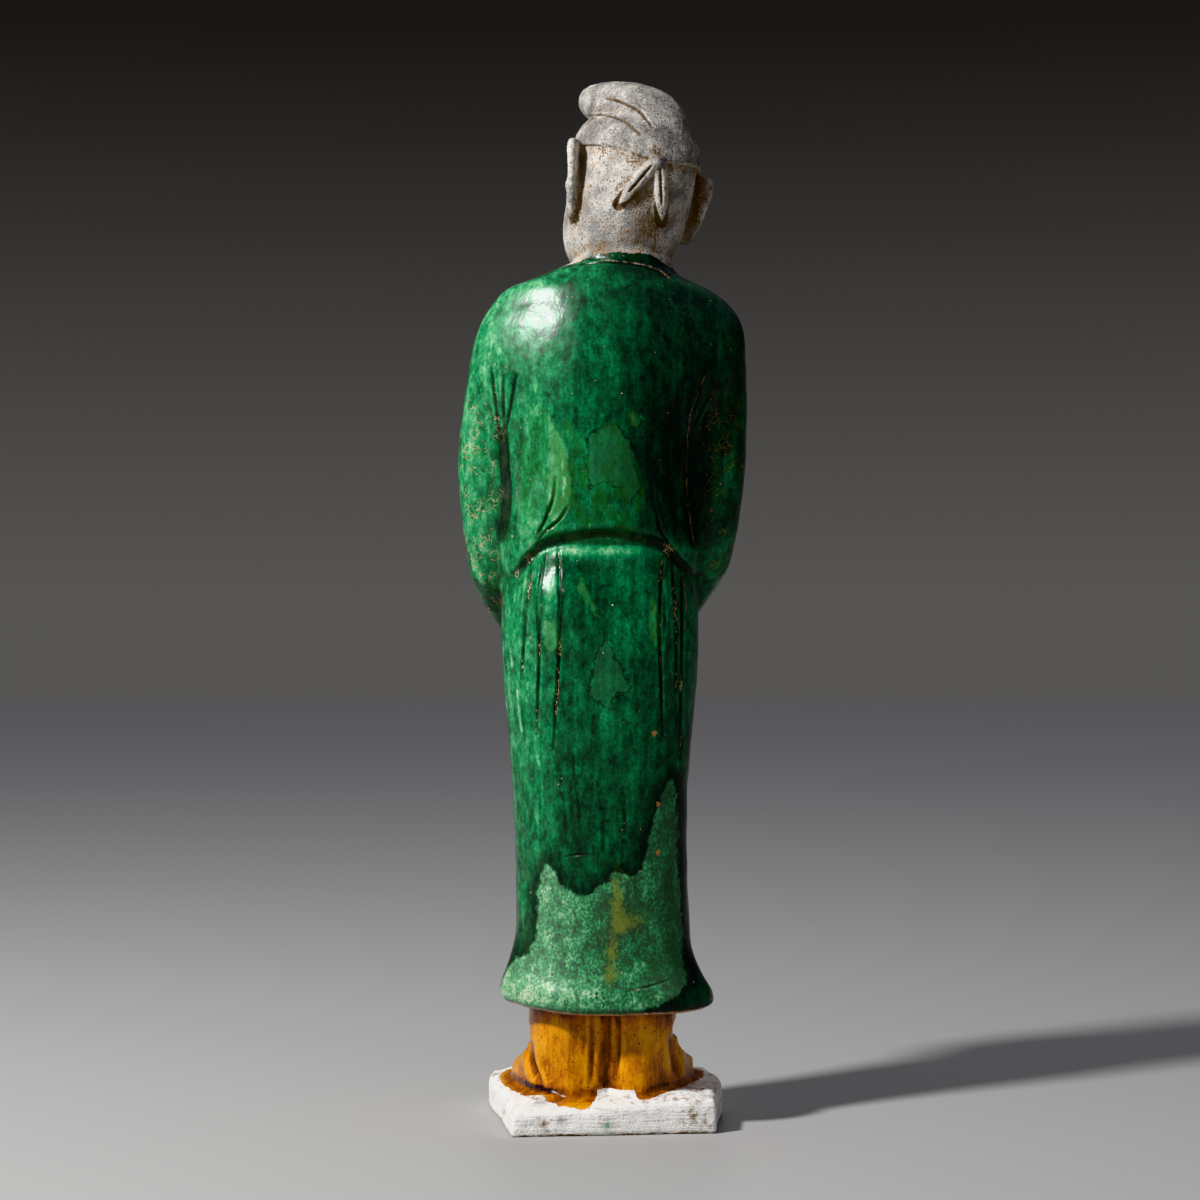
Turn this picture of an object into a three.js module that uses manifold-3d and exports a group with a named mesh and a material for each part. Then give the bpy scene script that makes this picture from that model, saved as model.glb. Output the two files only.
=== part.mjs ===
// Standing figure of an officer in glazed earthenware: a cap with a knot and two ribbons, a long belted robe
// with its hands hidden in joined sleeves, boots and a hand-cut slab base, all fired as one piece.
// Millimetres, +Z up. The figure faces -Y, its left hand side is +X, and the origin is the middle of the
// underside of the base.

import * as THREE from 'three';
import { mergeVertices } from 'three/addons/utils/BufferGeometryUtils.js';
import Module from 'manifold-3d';

const wasm = await Module();
wasm.setup();

// Driving dimensions

const BODY_SETBACK = 12; // the body's axis stands this far behind the middle of the base
const BASE_TOP = 24; // height of the top of the slab
const BOOT_TOP = 92; // the boots end inside the skirt
const BELT = 388; // height of the belt groove at the middle of the back
const BELT_DROP = 25; // the bloused cloth over the belt hangs this much lower at the sides and in front
const HEAD_AT = new THREE.Vector3(-20, -4, 630); // middle of the head, measured from the body's axis
const HEAD_TURN = 20; // degrees, the face turns to the figure's left
const HEAD_LEAN = 11; // degrees, the crown leans to the figure's right
const BAND = 17; // lower edge of the cap above the middle of the head, at its sides
const BAND_DIP = 4; // the edge dips this much to the knot at the back
const LOBE_TWIST = 6; // degrees, the high lobe of the cap turns further to the left than the face

const ROBE_SIDES = 36; // points around the robe
const HEAD_SIDES = 34; // points around the head
const LOBE_SIDES = 18;
const SLEEVE_SIDES = 12;
const SLEEVE_SQUARENESS = 2.4;
const BOOT_SIDES = 16;

// Rows of sizes by height: half width, reach to the front, reach to the back, shift to the figure's left and
// squareness of the section (2 is an ellipse).

const SKIRT = [
  [78, 67, 52, 49, -2.5, 2.2],
  [81, 72.5, 55, 52.5, -2.5, 2.2],
  [88, 72, 55, 52.5, -2, 2.2],
  [96, 68, 52, 49.5, -1, 2.2],
  [104, 64.5, 49, 47, 0, 2.2],
  [116, 60.5, 46, 44.5, 0.5, 2.2],
  [130, 58.5, 44.5, 43, 0, 2.2],
  [180, 57.7, 43.5, 42.5, 1.3, 2.2],
  [243, 60, 46, 44.5, 2, 2.3],
  [283, 64.5, 49, 46.5, 2, 2.3],
  [324, 66.5, 51, 48, 2, 2.4],
  [360, 65.5, 50, 46.5, 2, 2.4],
  [385, 62, 46, 44, 2, 2.4],
  [404, 55, 40, 38, 2, 2.4],
];

const TORSO = [
  [BELT, 56, 40, 38, 2, 2.4],
  [BELT + 2, 62.5, 46, 45.5, 2, 2.4],
  [BELT + 6, 66, 50, 50, 2, 2.4],
  [BELT + 14, 67.5, 52, 52.5, 2, 2.4],
  [430, 67, 51, 54, 3, 2.4],
  [455, 68.5, 50, 54, 2.5, 2.4],
  [472, 75, 49, 54, 1, 2.4],
  [488, 85, 48, 53.5, -1.5, 2.4],
  [503, 90.5, 46, 52.5, -3, 2.4],
  [518, 91.5, 43, 50.5, -4.5, 2.4],
  [532, 89, 40, 47.5, -5.5, 2.4],
  [543, 84, 37, 44.5, -5.5, 2.3],
  [552, 76.5, 34, 41, -4.8, 2.2],
  [559, 68, 31, 38, -2.5, 2.2],
  [565.5, 54, 29, 35, -3, 2.1],
  [571.5, 37, 28, 32, -8, 2],
  [577, 32, 27, 30, -12, 2],
];

const NECK = [
  [560, 32, 27, 30, -11, 2],
  [577, 30.5, 26, 29, -12.5, 2],
  [588, 31, 26, 30, -14, 2],
  [600, 31, 24, 31, -16, 2],
  [614, 26, 18, 28, -18, 2],
];

// The head by height above its own middle: half width, reach to the front, reach to the back. The step at the
// band is the lower edge of the cap.

const HEAD = [
  [-63, 14, 37, 12],
  [-61, 21, 42.5, 20],
  [-56, 28.5, 45, 28.5],
  [-48, 34.5, 46, 33],
  [-38, 38, 46.5, 36.5],
  [-25, 39.8, 45.5, 40.5],
  [-10, 40.2, 44.5, 43.5],
  [5, 40.2, 45, 45],
  [BAND - 0.7, 39.8, 46, 44],
  [BAND + 0.7, 43, 49, 47],
  [24, 42.6, 49.5, 45],
  [30, 41, 48.5, 41.5],
  [36, 37.5, 45.5, 36],
  [42, 32, 41, 28],
  [50, 22, 32, 20],
];

// The high lobe of the cap from its back end to its front end: half width, height of its underside and of its
// top above the middle of the head.

const LOBE = [
  [-41, 9, 16, 30],
  [-36, 18, 13, 40],
  [-26, 24, 14, 52],
  [-13, 27, 18, 62],
  [2, 29, 24, 68],
  [20, 30.5, 31, 71],
  [38, 31.5, 37, 71.5],
  [48, 31, 40.5, 70.5],
  [55, 26, 43.5, 68],
  [59.5, 17, 47.5, 63.5],
  [61, 7, 52, 58.5],
];

// Each sleeve along its middle line: place, turn of its flat side towards the front in degrees, half
// thickness, reach behind or below the line, reach before or above it.

const LEFT_SLEEVE = [
  { at: [53, 0, 537], turn: 0, half: 22, outer: 24, inner: 22 },
  { at: [63, -1, 518], turn: 0, half: 25, outer: 27, inner: 24 },
  { at: [68.5, -2, 492], turn: 0, half: 23.5, outer: 25, inner: 23 },
  { at: [74, -3, 452], turn: 0, half: 24, outer: 24, inner: 22 },
  { at: [74.5, -8, 418], turn: 6, half: 22.5, outer: 26, inner: 22 },
  { at: [70, -22, 388], turn: 22, half: 19, outer: 38, inner: 25 },
  { at: [57, -43, 374], turn: 48, half: 15.5, outer: 47, inner: 38 },
  { at: [34, -57, 368], turn: 72, half: 14.5, outer: 60, inner: 52 },
  { at: [-4, -61, 368], turn: 90, half: 15, outer: 63, inner: 60 },
];

const RIGHT_SLEEVE = [
  { at: [-60, 0, 537], turn: 0, half: 23, outer: 24, inner: 22 },
  { at: [-71, -1, 516], turn: 0, half: 25, outer: 27, inner: 24 },
  { at: [-73.5, -2, 492], turn: 0, half: 23.5, outer: 25, inner: 23 },
  { at: [-73.5, -3, 452], turn: 0, half: 23.5, outer: 24, inner: 22 },
  { at: [-72, -8, 424], turn: 6, half: 22.5, outer: 26, inner: 22 },
  { at: [-66, -22, 394], turn: 22, half: 19.5, outer: 36, inner: 25 },
  { at: [-49, -43, 379], turn: 48, half: 15, outer: 44, inner: 38 },
  { at: [-30, -57, 370], turn: 72, half: 14.5, outer: 60, inner: 52 },
  { at: [2, -61, 368], turn: 90, half: 15, outer: 63, inner: 60 },
];

// Boots by height: reach forward of the shaft's axis, half length and half width beside the shaft's own.

const BOOT = [
  [BASE_TOP - 6, 24, 54, 0],
  [BASE_TOP + 6, 24, 54, 1],
  [BASE_TOP + 13, 20, 49, 0],
  [BASE_TOP + 21, 9, 37, -1],
  [BASE_TOP + 32, 2, 29, -0.5],
  [BOOT_TOP, 0, 27, 0],
];
const LEFT_BOOT = { x: 20.5, y: 5, halfWidth: 28, turn: 20 };
const RIGHT_BOOT = { x: -25.5, y: 5, halfWidth: 22, turn: -22 };

// Corners of the base seen from above, with the height of the top edge at each one and how far it is worn in.

const BASE_CORNERS = [
  [60, 69, 16, 7],
  [-74, 55, 23, 2.5],
  [-82, -22, 24, 2.5],
  [-72, -70, 24, 3],
  [67, -71, 24, 3],
  [80, -54, 22, 3],
];
const BASE_SPLITS = 4; // pieces along each side of the base, so that the sides can wander by hand
const BASE_WANDER = 0.8;

// Lines cut into the wet clay. Each is a list of [left, height] places seen from behind or from in front.

const CUT_WIDTH = 3;
const CUT_DEPTH = 1.6;

const BACK_LINES = [
  [[29, 384], [27, 350], [28, 331], [30, 292], [33, 252]],
  [[38, 381], [41, 337], [42, 311], [44, 262]],
  [[47, 371], [51, 337], [54, 298]],
  [[-39, 377], [-37, 337], [-38, 301], [-39, 265]],
  [[-45, 377], [-48, 337], [-48, 291]],
  [[-52, 367], [-52, 330], [-51, 245]],
  [[74, 504], [71, 480], [68, 461]],
  [[66, 499], [66, 478], [65, 459]],
  [[57, 499], [61, 478], [66, 457]],
  [[-68, 502], [-63, 486], [-58, 469]],
  [[-71, 487], [-66, 477], [-61, 468]],
  [[31, 431], [33, 416], [38, 403], [44, 391]],
  [[23, 412], [28, 404], [36, 397], [42, 391]],
  [[-35, 405], [-39, 392], [-50, 379], [-58, 371]],
  [[-1, 684], [-15, 677], [-28, 667], [-34, 660]],
  [[5, 674], [-8, 669], [-19, 662], [-25, 656]],
];

const FRONT_LINES = [
  [[-1, 424], [-2, 370], [-1, 314]],
  [[20, 420], [34, 388], [41, 346]],
  [[-20, 420], [-34, 388], [-41, 350]],
  [[18, 288], [23, 200], [28, 112]],
  [[-18, 288], [-22, 200], [-27, 112]],
];

// Forming tools

const radians = THREE.MathUtils.degToRad;
const ease = THREE.MathUtils.smoothstep;

// The sizes at one height of a table of rows, eased from row to row without overshoot.
function sizesAt(rows, height) {
  const last = rows.length - 1;
  const at = Math.min(Math.max(height, rows[0][0]), rows[last][0]);
  let low = 0;
  while (low < last - 1 && rows[low + 1][0] <= at) low += 1;
  const gap = rows[low + 1][0] - rows[low][0];
  const t = (at - rows[low][0]) / gap;
  const rise = (k, column) => (rows[k + 1][column] - rows[k][column]) / (rows[k + 1][0] - rows[k][0]);
  const slope = (k, column) => {
    if (k === 0) return rise(0, column);
    if (k === last) return rise(last - 1, column);
    const before = rise(k - 1, column);
    const after = rise(k, column);
    return before * after <= 0 ? 0 : (2 * before * after) / (before + after);
  };
  return rows[0].slice(1).map((_, index) => {
    const column = index + 1;
    const start = rows[low][column];
    const end = rows[low + 1][column];
    const leave = slope(low, column) * gap;
    const arrive = slope(low + 1, column) * gap;
    return (2 * t ** 3 - 3 * t ** 2 + 1) * start + (t ** 3 - 2 * t ** 2 + t) * leave
      + (3 * t ** 2 - 2 * t ** 3) * end + (t ** 3 - t ** 2) * arrive;
  });
}

// A sine or cosine bent so that the ellipse it draws grows squarer.
const squared = (value, squareness) => Math.sign(value) * Math.abs(value) ** (2 / squareness);

// A rounded, slightly squared section, anticlockwise from the figure's left. Crowding above 0 draws its
// points together in front.
function section(height, sizes, sides, crowding = 0) {
  const [halfWidth, front, back, shift = 0, squareness = 2] = sizes;
  const middle = (back - front) / 2;
  const halfDepth = (back + front) / 2;
  return Array.from({ length: sides }, (_, k) => {
    const even = (2 * Math.PI * k) / sides;
    const angle = even - crowding * Math.cos(even);
    return new THREE.Vector3(
      shift + halfWidth * squared(Math.cos(angle), squareness),
      middle + halfDepth * squared(Math.sin(angle), squareness),
      height,
    );
  });
}

// A closed skin over rings of equally many points that turn anticlockwise about the way they are stacked.
function skin(rings) {
  const sides = rings[0].length;
  const points = rings.flat();
  const middleOf = (ring) => ring.reduce((sum, p) => sum.add(p), new THREE.Vector3()).divideScalar(sides);
  const first = points.push(middleOf(rings[0])) - 1;
  const last = points.push(middleOf(rings[rings.length - 1])) - 1;
  const top = (rings.length - 1) * sides;
  const faces = [];
  for (let j = 0; j < sides; j += 1) {
    const next = (j + 1) % sides;
    for (let row = 0; row < top; row += sides) {
      faces.push(row + j, row + next, row + sides + next);
      faces.push(row + j, row + sides + next, row + sides + j);
    }
    faces.push(first, next, j, last, top + j, top + next);
  }
  const geometry = new THREE.BufferGeometry();
  geometry.setFromPoints(points);
  geometry.setIndex(faces);
  return geometry;
}

// A closed body ready to be joined or cut.
function solid(geometry) {
  geometry.deleteAttribute('normal');
  geometry.deleteAttribute('uv');
  const merged = mergeVertices(geometry, 1e-4);
  return new wasm.Manifold(new wasm.Mesh({
    numProp: 3,
    vertProperties: merged.getAttribute('position').array,
    triVerts: Uint32Array.from(merged.getIndex().array),
  }));
}

// The geometry of a joined body.
function geometryOf(body) {
  const mesh = body.getMesh();
  const geometry = new THREE.BufferGeometry();
  geometry.setAttribute('position', new THREE.BufferAttribute(mesh.vertProperties, 3));
  geometry.setIndex(new THREE.BufferAttribute(mesh.triVerts, 1));
  return geometry;
}

// Heights from bottom to top, with more of them between the given pairs of levels.
function levels(stretches) {
  const heights = [];
  for (const [from, to, count] of stretches) {
    for (let k = 0; k < count; k += 1) heights.push(from + ((to - from) * k) / count);
  }
  heights.push(stretches[stretches.length - 1][1]);
  return heights;
}

// Robe

// The skirt, flaring to a thick hem that stands a little higher at the figure's left.
function skirt() {
  const hemLift = (point) => 4.5 * ease(point.x, 15, 70) * (1 - ease(point.z, 84, 125));
  const heights = levels([[78, 84, 2], [84, 96, 2], [96, 130, 3], [130, 324, 6], [324, 404, 3]]);
  return skin(heights.map((height) => {
    const ring = section(height, sizesAt(SKIRT, height), ROBE_SIDES);
    ring.forEach((point) => { point.z += hemLift(point); });
    return ring;
  }));
}

// The upper robe, bloused over the belt: its lower edge turns under at the belt and hangs lower at the sides.
function torso() {
  const drop = (point) => {
    const across = Math.abs(point.x);
    const behind = 3 * Math.min(1, (across / 36) ** 2) + (BELT_DROP - 3) * ease(across, 34, 64);
    const reach = point.y > 0 ? behind : BELT_DROP;
    return reach * (1 - ease(point.z, BELT + 8, BELT + 64));
  };
  const heights = levels([[BELT, BELT + 6, 2], [BELT + 6, 410, 2], [410, 472, 4], [472, 532, 4],
    [532, 577, 5]]);
  return skin(heights.map((height) => {
    const ring = section(height, sizesAt(TORSO, height), ROBE_SIDES);
    ring.forEach((point) => { point.z -= drop(point); });
    return ring;
  }));
}

function neck() {
  return skin(levels([[560, 612, 5]]).map((height) => section(height, sizesAt(NECK, height), 28)));
}

// A sleeve: the upper arm hangs, the forearm comes forward and the wide cuff meets the other one in front.
function sleeve(stations) {
  const side = Math.sign(stations[0].at[0]);
  const path = new THREE.CatmullRomCurve3(stations.map(({ at }) => new THREE.Vector3(...at)));
  const rows = stations.map(({ turn, half, outer, inner }, k) => [k, turn, half, outer, inner]);
  const steps = 2 * (stations.length - 1);
  const rings = [];
  for (let step = 0; step <= steps; step += 1) {
    const along = step / steps;
    const [turn, half, outer, inner] = sizesAt(rows, along * (stations.length - 1));
    const middle = path.getPoint(along);
    const forward = path.getTangent(along);
    const angle = radians(turn);
    const out = new THREE.Vector3(side * Math.cos(angle), -Math.sin(angle), 0);
    const under = new THREE.Vector3().crossVectors(out, forward).multiplyScalar(side).normalize();
    out.crossVectors(forward, under).multiplyScalar(side).normalize();
    rings.push(Array.from({ length: SLEEVE_SIDES }, (_, k) => {
      const around = (side * 2 * Math.PI * k) / SLEEVE_SIDES;
      const reach = Math.cos(around) > 0 ? outer : inner;
      return middle.clone()
        .addScaledVector(under, reach * squared(Math.cos(around), SLEEVE_SQUARENESS))
        .addScaledVector(out, half * squared(Math.sin(around), SLEEVE_SQUARENESS));
    }));
  }
  return skin(rings);
}

// The raised round collar, a band that lies a little lower in front.
function collar() {
  const halfWidth = 34;
  const halfDepth = 31;
  const bandHeight = 8;
  const bandThickness = 3;
  const profile = [
    new THREE.Vector2(-4, -bandHeight / 2),
    new THREE.Vector2(bandThickness * 0.7, -bandHeight / 2),
    new THREE.Vector2(bandThickness, 0),
    new THREE.Vector2(bandThickness * 0.4, bandHeight / 2),
    new THREE.Vector2(-4, bandHeight / 2),
  ];
  const radius = 30;
  profile.forEach((point) => { point.x += radius; });
  const band = new THREE.LatheGeometry([...profile, profile[0]], 24);
  band.rotateX(Math.PI / 2);
  band.scale(halfWidth / (radius + bandThickness), halfDepth / (radius + bandThickness), 1);
  band.rotateX(radians(7));
  band.translate(-13, 0, 577.5);
  return band;
}

// Head, in its own frame: the face looks to -Y and the middle of the head is the origin

// How far the features of the face stand forward of the plain head, at a place across and up.
function features(across, up) {
  const x = Math.abs(across);
  const mound = (centreX, centreZ, wide, high) =>
    Math.exp(-(((x - centreX) / wide) ** 2) - ((up - centreZ) / high) ** 2);
  const bridge = ease(up, -28, -23) * (1 - ease(up, 2, 10));
  const noseWidth = 3.2 + 3.2 * (1 - ease(up, -25, -2));
  const noseHeight = 3 + 9 * (1 - ease(up, -24, 6));
  const nose = bridge * noseHeight * Math.exp(-((x / noseWidth) ** 2));
  return nose
    - 3.2 * mound(15, 0, 8.5, 6)
    + 2.4 * mound(15.5, -2, 6.5, 3.2)
    + 1.5 * mound(16, 9, 11, 3.5)
    + 1.6 * mound(23, -20, 11, 10)
    + 2.6 * mound(0, -37.5, 8.5, 2.6)
    + 2.4 * mound(0, -43, 7, 2.6)
    - 1.4 * mound(0, -48.5, 8, 2.8)
    + 2.6 * mound(0, -56, 9, 5);
}

// Face, skull and the lower part of the cap in one skin.
function headAndCap() {
  const heights = levels([[-63, -48, 4], [-48, -20, 9], [-20, 8, 6], [8, BAND - 0.7, 2],
    [BAND - 0.7, BAND + 0.7, 1], [BAND + 0.7, 50, 4]]);
  return skin(heights.map((height) => {
    const ring = section(height, [...sizesAt(HEAD, height), 0, 2.15], HEAD_SIDES, 0.45);
    const faceFade = 1 - ease(height, 10, BAND - 1);
    const dip = BAND_DIP * ease(height, -6, BAND - 1) * (1 - ease(height, BAND + 1, 40));
    ring.forEach((point) => {
      if (point.y < 0) point.y -= faceFade * features(point.x, height);
      else point.z -= dip * (1 - ease(Math.abs(point.x), 4, 34));
    });
    return ring;
  }));
}

// The high lobe of the cap, leaning forward over the lower part.
function capLobe() {
  const places = levels([[-41, -26, 3], [-26, 38, 5], [38, 55, 2], [55, 61, 3]]);
  const lobe = skin(places.map((place) => {
    const [halfWidth, under, top] = sizesAt(LOBE, place);
    const ring = section(-place, [halfWidth, -under, top, 0, 2.3], LOBE_SIDES);
    return ring.map(({ x, y, z }) => new THREE.Vector3(x, z, y));
  }));
  return lobe.rotateZ(radians(LOBE_TWIST));
}

function knot() {
  const lump = new THREE.SphereGeometry(1, 10, 6);
  lump.scale(5.5, 4, 4);
  lump.translate(2, 45, BAND - BAND_DIP - 1);
  return lump;
}

// A ribbon tail: a long leaf with a ridge on each edge, lying on the back of the head.
function ribbon(start, end) {
  const steps = 6;
  const halfWidth = 4.4;
  const halfThick = 2.8;
  const from = new THREE.Vector3(...start);
  const along = new THREE.Vector3(...end).sub(from);
  const forward = along.clone().normalize();
  const flat = new THREE.Vector3(0, 1, 0).cross(forward).normalize();
  const out = new THREE.Vector3().crossVectors(forward, flat);
  return skin(Array.from({ length: steps + 1 }, (_, step) => {
    const t = step / steps;
    const leaf = 0.4 + 0.6 * Math.sin(Math.PI * (0.1 + 0.85 * t)) ** 0.7;
    const middle = from.clone().addScaledVector(along, t);
    return Array.from({ length: 8 }, (_, k) => {
      const around = (Math.PI * k) / 4;
      return middle.clone()
        .addScaledVector(flat, halfWidth * leaf * Math.cos(around))
        .addScaledVector(out, halfThick * leaf * Math.sin(around));
    });
  }));
}

// An ear: a long rounded slab that stands away from the head at its back edge, its lower end drawn in.
function ear(side, { halfHeight, halfDepth, up }) {
  const thickness = 8.5;
  const root = 22;
  const flare = 24;
  const tilt = 10;
  const rows = [[-1, 0.25], [-0.9, 0.55], [-0.4, 0.85], [0.4, 1], [0.82, 0.84], [0.95, 0.6], [1, 0.3]];
  const slab = skin(rows.map(([height, reach]) =>
    section(height * halfHeight, [(thickness / 2) * Math.min(1, 0.3 + reach), root * reach,
      halfDepth * reach, 0, 2.3], 12)));
  slab.rotateY(radians(side * tilt));
  slab.rotateZ(radians(-side * flare));
  slab.translate(side * 44.5, 6, up);
  return slab;
}

function head() {
  const tie = BAND - BAND_DIP - 1;
  const parts = [
    headAndCap(),
    capLobe(),
    knot(),
    ribbon([3, 45, tie], [20, 39, -20]),
    ribbon([0, 45, tie], [-10.5, 41.5, -24]),
    ear(1, { halfHeight: 27, halfDepth: 13, up: -6.5 }),
    ear(-1, { halfHeight: 24.5, halfDepth: 13, up: -8 }),
  ];
  const place = new THREE.Matrix4().makeTranslation(HEAD_AT.x, HEAD_AT.y, HEAD_AT.z);
  place.multiply(new THREE.Matrix4().makeRotationY(radians(-HEAD_LEAN)));
  place.multiply(new THREE.Matrix4().makeRotationZ(radians(HEAD_TURN)));
  return parts.map((part) => part.applyMatrix4(place));
}

// Boots and base

function boot({ x, y, halfWidth, turn }) {
  const heights = levels([[BOOT[0][0], BASE_TOP + 6, 1], [BASE_TOP + 6, BASE_TOP + 32, 4],
    [BASE_TOP + 32, BOOT_TOP, 1]]);
  const shape = skin(heights.map((height) => {
    const [ahead, halfLength, wider] = sizesAt(BOOT, height);
    return section(height, [halfWidth + wider, halfLength + ahead, halfLength - ahead, 0, 2.5], BOOT_SIDES);
  }));
  return shape.rotateZ(radians(turn)).translate(x, y, 0);
}

// The slab, cut by hand: its sides wander a little and its upper edge is worn in by a share of each corner's
// wear, at a share of the top edge's height.
function base() {
  const ringAt = (wear, heightAt, inset = 0) => BASE_CORNERS.flatMap((corner, index) => {
    const next = BASE_CORNERS[(index + 1) % BASE_CORNERS.length];
    return Array.from({ length: BASE_SPLITS }, (_, k) => {
      const t = k / BASE_SPLITS;
      const [x, y, top, worn] = corner.map((value, column) => value + (next[column] - value) * t);
      const wander = BASE_WANDER * Math.sin(5 * t * Math.PI + 2 * index);
      const reach = Math.hypot(x, y);
      const shrink = (reach - inset - wear * worn + wander) / reach;
      return new THREE.Vector3(x * shrink, y * shrink, heightAt(top));
    });
  });
  return skin([
    ringAt(0, () => 0, 1.5),
    ringAt(0, () => 2),
    ringAt(0.25, (top) => top - 3.5),
    ringAt(1, (top) => top),
    ringAt(1, () => BASE_TOP, 22),
  ]);
}

// Cut lines

// A closed three-sided wedge that follows points on the surface, to be taken away from it.
function wedge(stops) {
  const above = 0.9;
  const path = new THREE.CatmullRomCurve3(stops.map(({ point }) => point));
  return skin(stops.map(({ normal }, k) => {
    const t = k / (stops.length - 1);
    const fade = 0.25 + 0.75 * Math.sin(Math.PI * t) ** 0.5;
    const across = path.getTangent(t).cross(normal).normalize();
    const upper = path.getPoint(t).addScaledVector(normal, above);
    return [
      upper.clone().addScaledVector(across, CUT_WIDTH * fade),
      path.getPoint(t).addScaledVector(normal, -CUT_DEPTH * fade),
      upper.clone().addScaledVector(across, -CUT_WIDTH * fade),
    ];
  }));
}

// The places where a line, looked at square from behind (1) or from in front (-1), lies on the body.
function laidOn(surface, line, side) {
  const distance = 300;
  const caster = new THREE.Raycaster();
  const guide = new THREE.CatmullRomCurve3(line.map(([left, up]) => new THREE.Vector3(left, 0, up)));
  const count = 2 * line.length - 1;
  return Array.from({ length: count }, (_, k) => {
    const start = guide.getPoint(k / (count - 1)).setY(side * distance);
    caster.set(start, new THREE.Vector3(0, -side, 0));
    const [hit] = caster.intersectObject(surface);
    return { point: hit.point, normal: hit.face.normal.clone() };
  });
}

// Joining and cutting

const onAxis = (geometry) => solid(geometry.translate(0, BODY_SETBACK, 0));

const shapes = [skirt(), torso(), neck(), sleeve(LEFT_SLEEVE), sleeve(RIGHT_SLEEVE), collar(), ...head(),
  boot(LEFT_BOOT), boot(RIGHT_BOOT)];

let figure = solid(base());
for (const shape of shapes) figure = figure.add(onAxis(shape));

const uncut = new THREE.Mesh(geometryOf(figure), new THREE.MeshStandardMaterial({ side: THREE.DoubleSide }));
for (const line of BACK_LINES) figure = figure.subtract(solid(wedge(laidOn(uncut, line, 1))));
for (const line of FRONT_LINES) figure = figure.subtract(solid(wedge(laidOn(uncut, line, -1))));

// Crumbs that the cuts set loose beside a crease are brushed off: the largest body is kept.
const [whole] = figure.decompose().sort((a, b) => b.volume() - a.volume());

const glaze = new THREE.MeshStandardMaterial({ color: 0x0c6b3e, roughness: 0.18, metalness: 0 });
const officer = new THREE.Mesh(geometryOf(whole), glaze);
officer.name = 'officer_figure';

const group = new THREE.Group();
group.add(officer);

export default group;
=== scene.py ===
import math

import bpy
import numpy as np
from mathutils import Matrix, Vector


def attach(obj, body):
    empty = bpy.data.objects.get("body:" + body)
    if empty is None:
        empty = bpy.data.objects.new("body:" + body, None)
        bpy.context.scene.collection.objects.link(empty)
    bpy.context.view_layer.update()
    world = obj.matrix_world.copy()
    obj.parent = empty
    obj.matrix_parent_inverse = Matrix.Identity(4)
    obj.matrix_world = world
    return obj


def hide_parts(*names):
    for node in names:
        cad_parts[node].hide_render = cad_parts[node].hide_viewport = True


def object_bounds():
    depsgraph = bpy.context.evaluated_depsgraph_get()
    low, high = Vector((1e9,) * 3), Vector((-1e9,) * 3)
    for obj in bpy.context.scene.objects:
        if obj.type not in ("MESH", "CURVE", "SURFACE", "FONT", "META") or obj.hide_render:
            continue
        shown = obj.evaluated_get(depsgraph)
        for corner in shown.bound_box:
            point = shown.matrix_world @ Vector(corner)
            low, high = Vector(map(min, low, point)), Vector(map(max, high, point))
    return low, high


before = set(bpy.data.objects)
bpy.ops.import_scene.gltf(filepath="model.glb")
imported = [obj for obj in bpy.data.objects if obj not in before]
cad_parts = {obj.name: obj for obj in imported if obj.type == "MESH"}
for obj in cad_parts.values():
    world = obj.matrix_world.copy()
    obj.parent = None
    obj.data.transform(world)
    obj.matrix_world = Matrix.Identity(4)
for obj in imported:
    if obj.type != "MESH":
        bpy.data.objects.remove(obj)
cad_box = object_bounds()
bpy.ops.object.select_all(action="DESELECT")

# The standpoint
# The figure is seen square from behind, from 1.9 m away and level with its waist, through a short
# telephoto lens.

MM = 0.001
BODY_SETBACK = 12  # mm, the body's axis stands this far behind the middle of the base
EYE_DISTANCE = 1900  # mm from the body's axis
EYE_HEIGHT = 350.6  # mm
EYE_ASIDE = 2  # mm
VIEW_ACROSS = 806.4  # mm seen across at the body's axis
SENSOR = 36  # mm

bpy.ops.object.camera_add(
    location=(EYE_ASIDE * MM, (BODY_SETBACK + EYE_DISTANCE) * MM, EYE_HEIGHT * MM),
    rotation=(math.pi / 2, 0, math.pi),
)
eye = bpy.context.object
eye.name = "standpoint"
eye.data.sensor_width = SENSOR
eye.data.lens = SENSOR * EYE_DISTANCE / VIEW_ACROSS
eye.data.dof.use_dof = False
bpy.context.scene.camera = eye
bpy.context.scene.view_settings.view_transform = "Khronos PBR Neutral"

# The studio
# A plain pale floor, one soft lamp high behind the figure on its left, a weak level light straight in front
# that gives no highlight, and a grey surround. The lamp draws the highlights on the shoulder and the hip.

FLOOR_REACH = 8.0
FLOOR_GREY = "#B4B3B1"
SURROUND = [(0.0, "#666564"), (0.2, "#353433"), (0.45, "#5A5A5F"), (1.0, "#A6A6AE")]  # level to overhead
LAMP_AIM = 0.38  # half way up the figure
LAMP_AZIMUTH = math.radians(53)  # from straight behind the figure, towards its left
LAMP_HEIGHT = math.radians(38)
LAMP_DISTANCE = 2.7
LAMP_WIDTH = 0.3
LAMP_POWER = 92
FRONT_HEIGHT = math.radians(5)
FRONT_WIDTH = math.radians(10)
FRONT_POWER = 1.8


def linear(code):
    """An sRGB hex colour as linear red, green, blue and full alpha."""
    parts = [int(code[k : k + 2], 16) / 255 for k in (1, 3, 5)]
    return [p / 12.92 if p <= 0.04045 else ((p + 0.055) / 1.055) ** 2.4 for p in parts] + [1.0]


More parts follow.
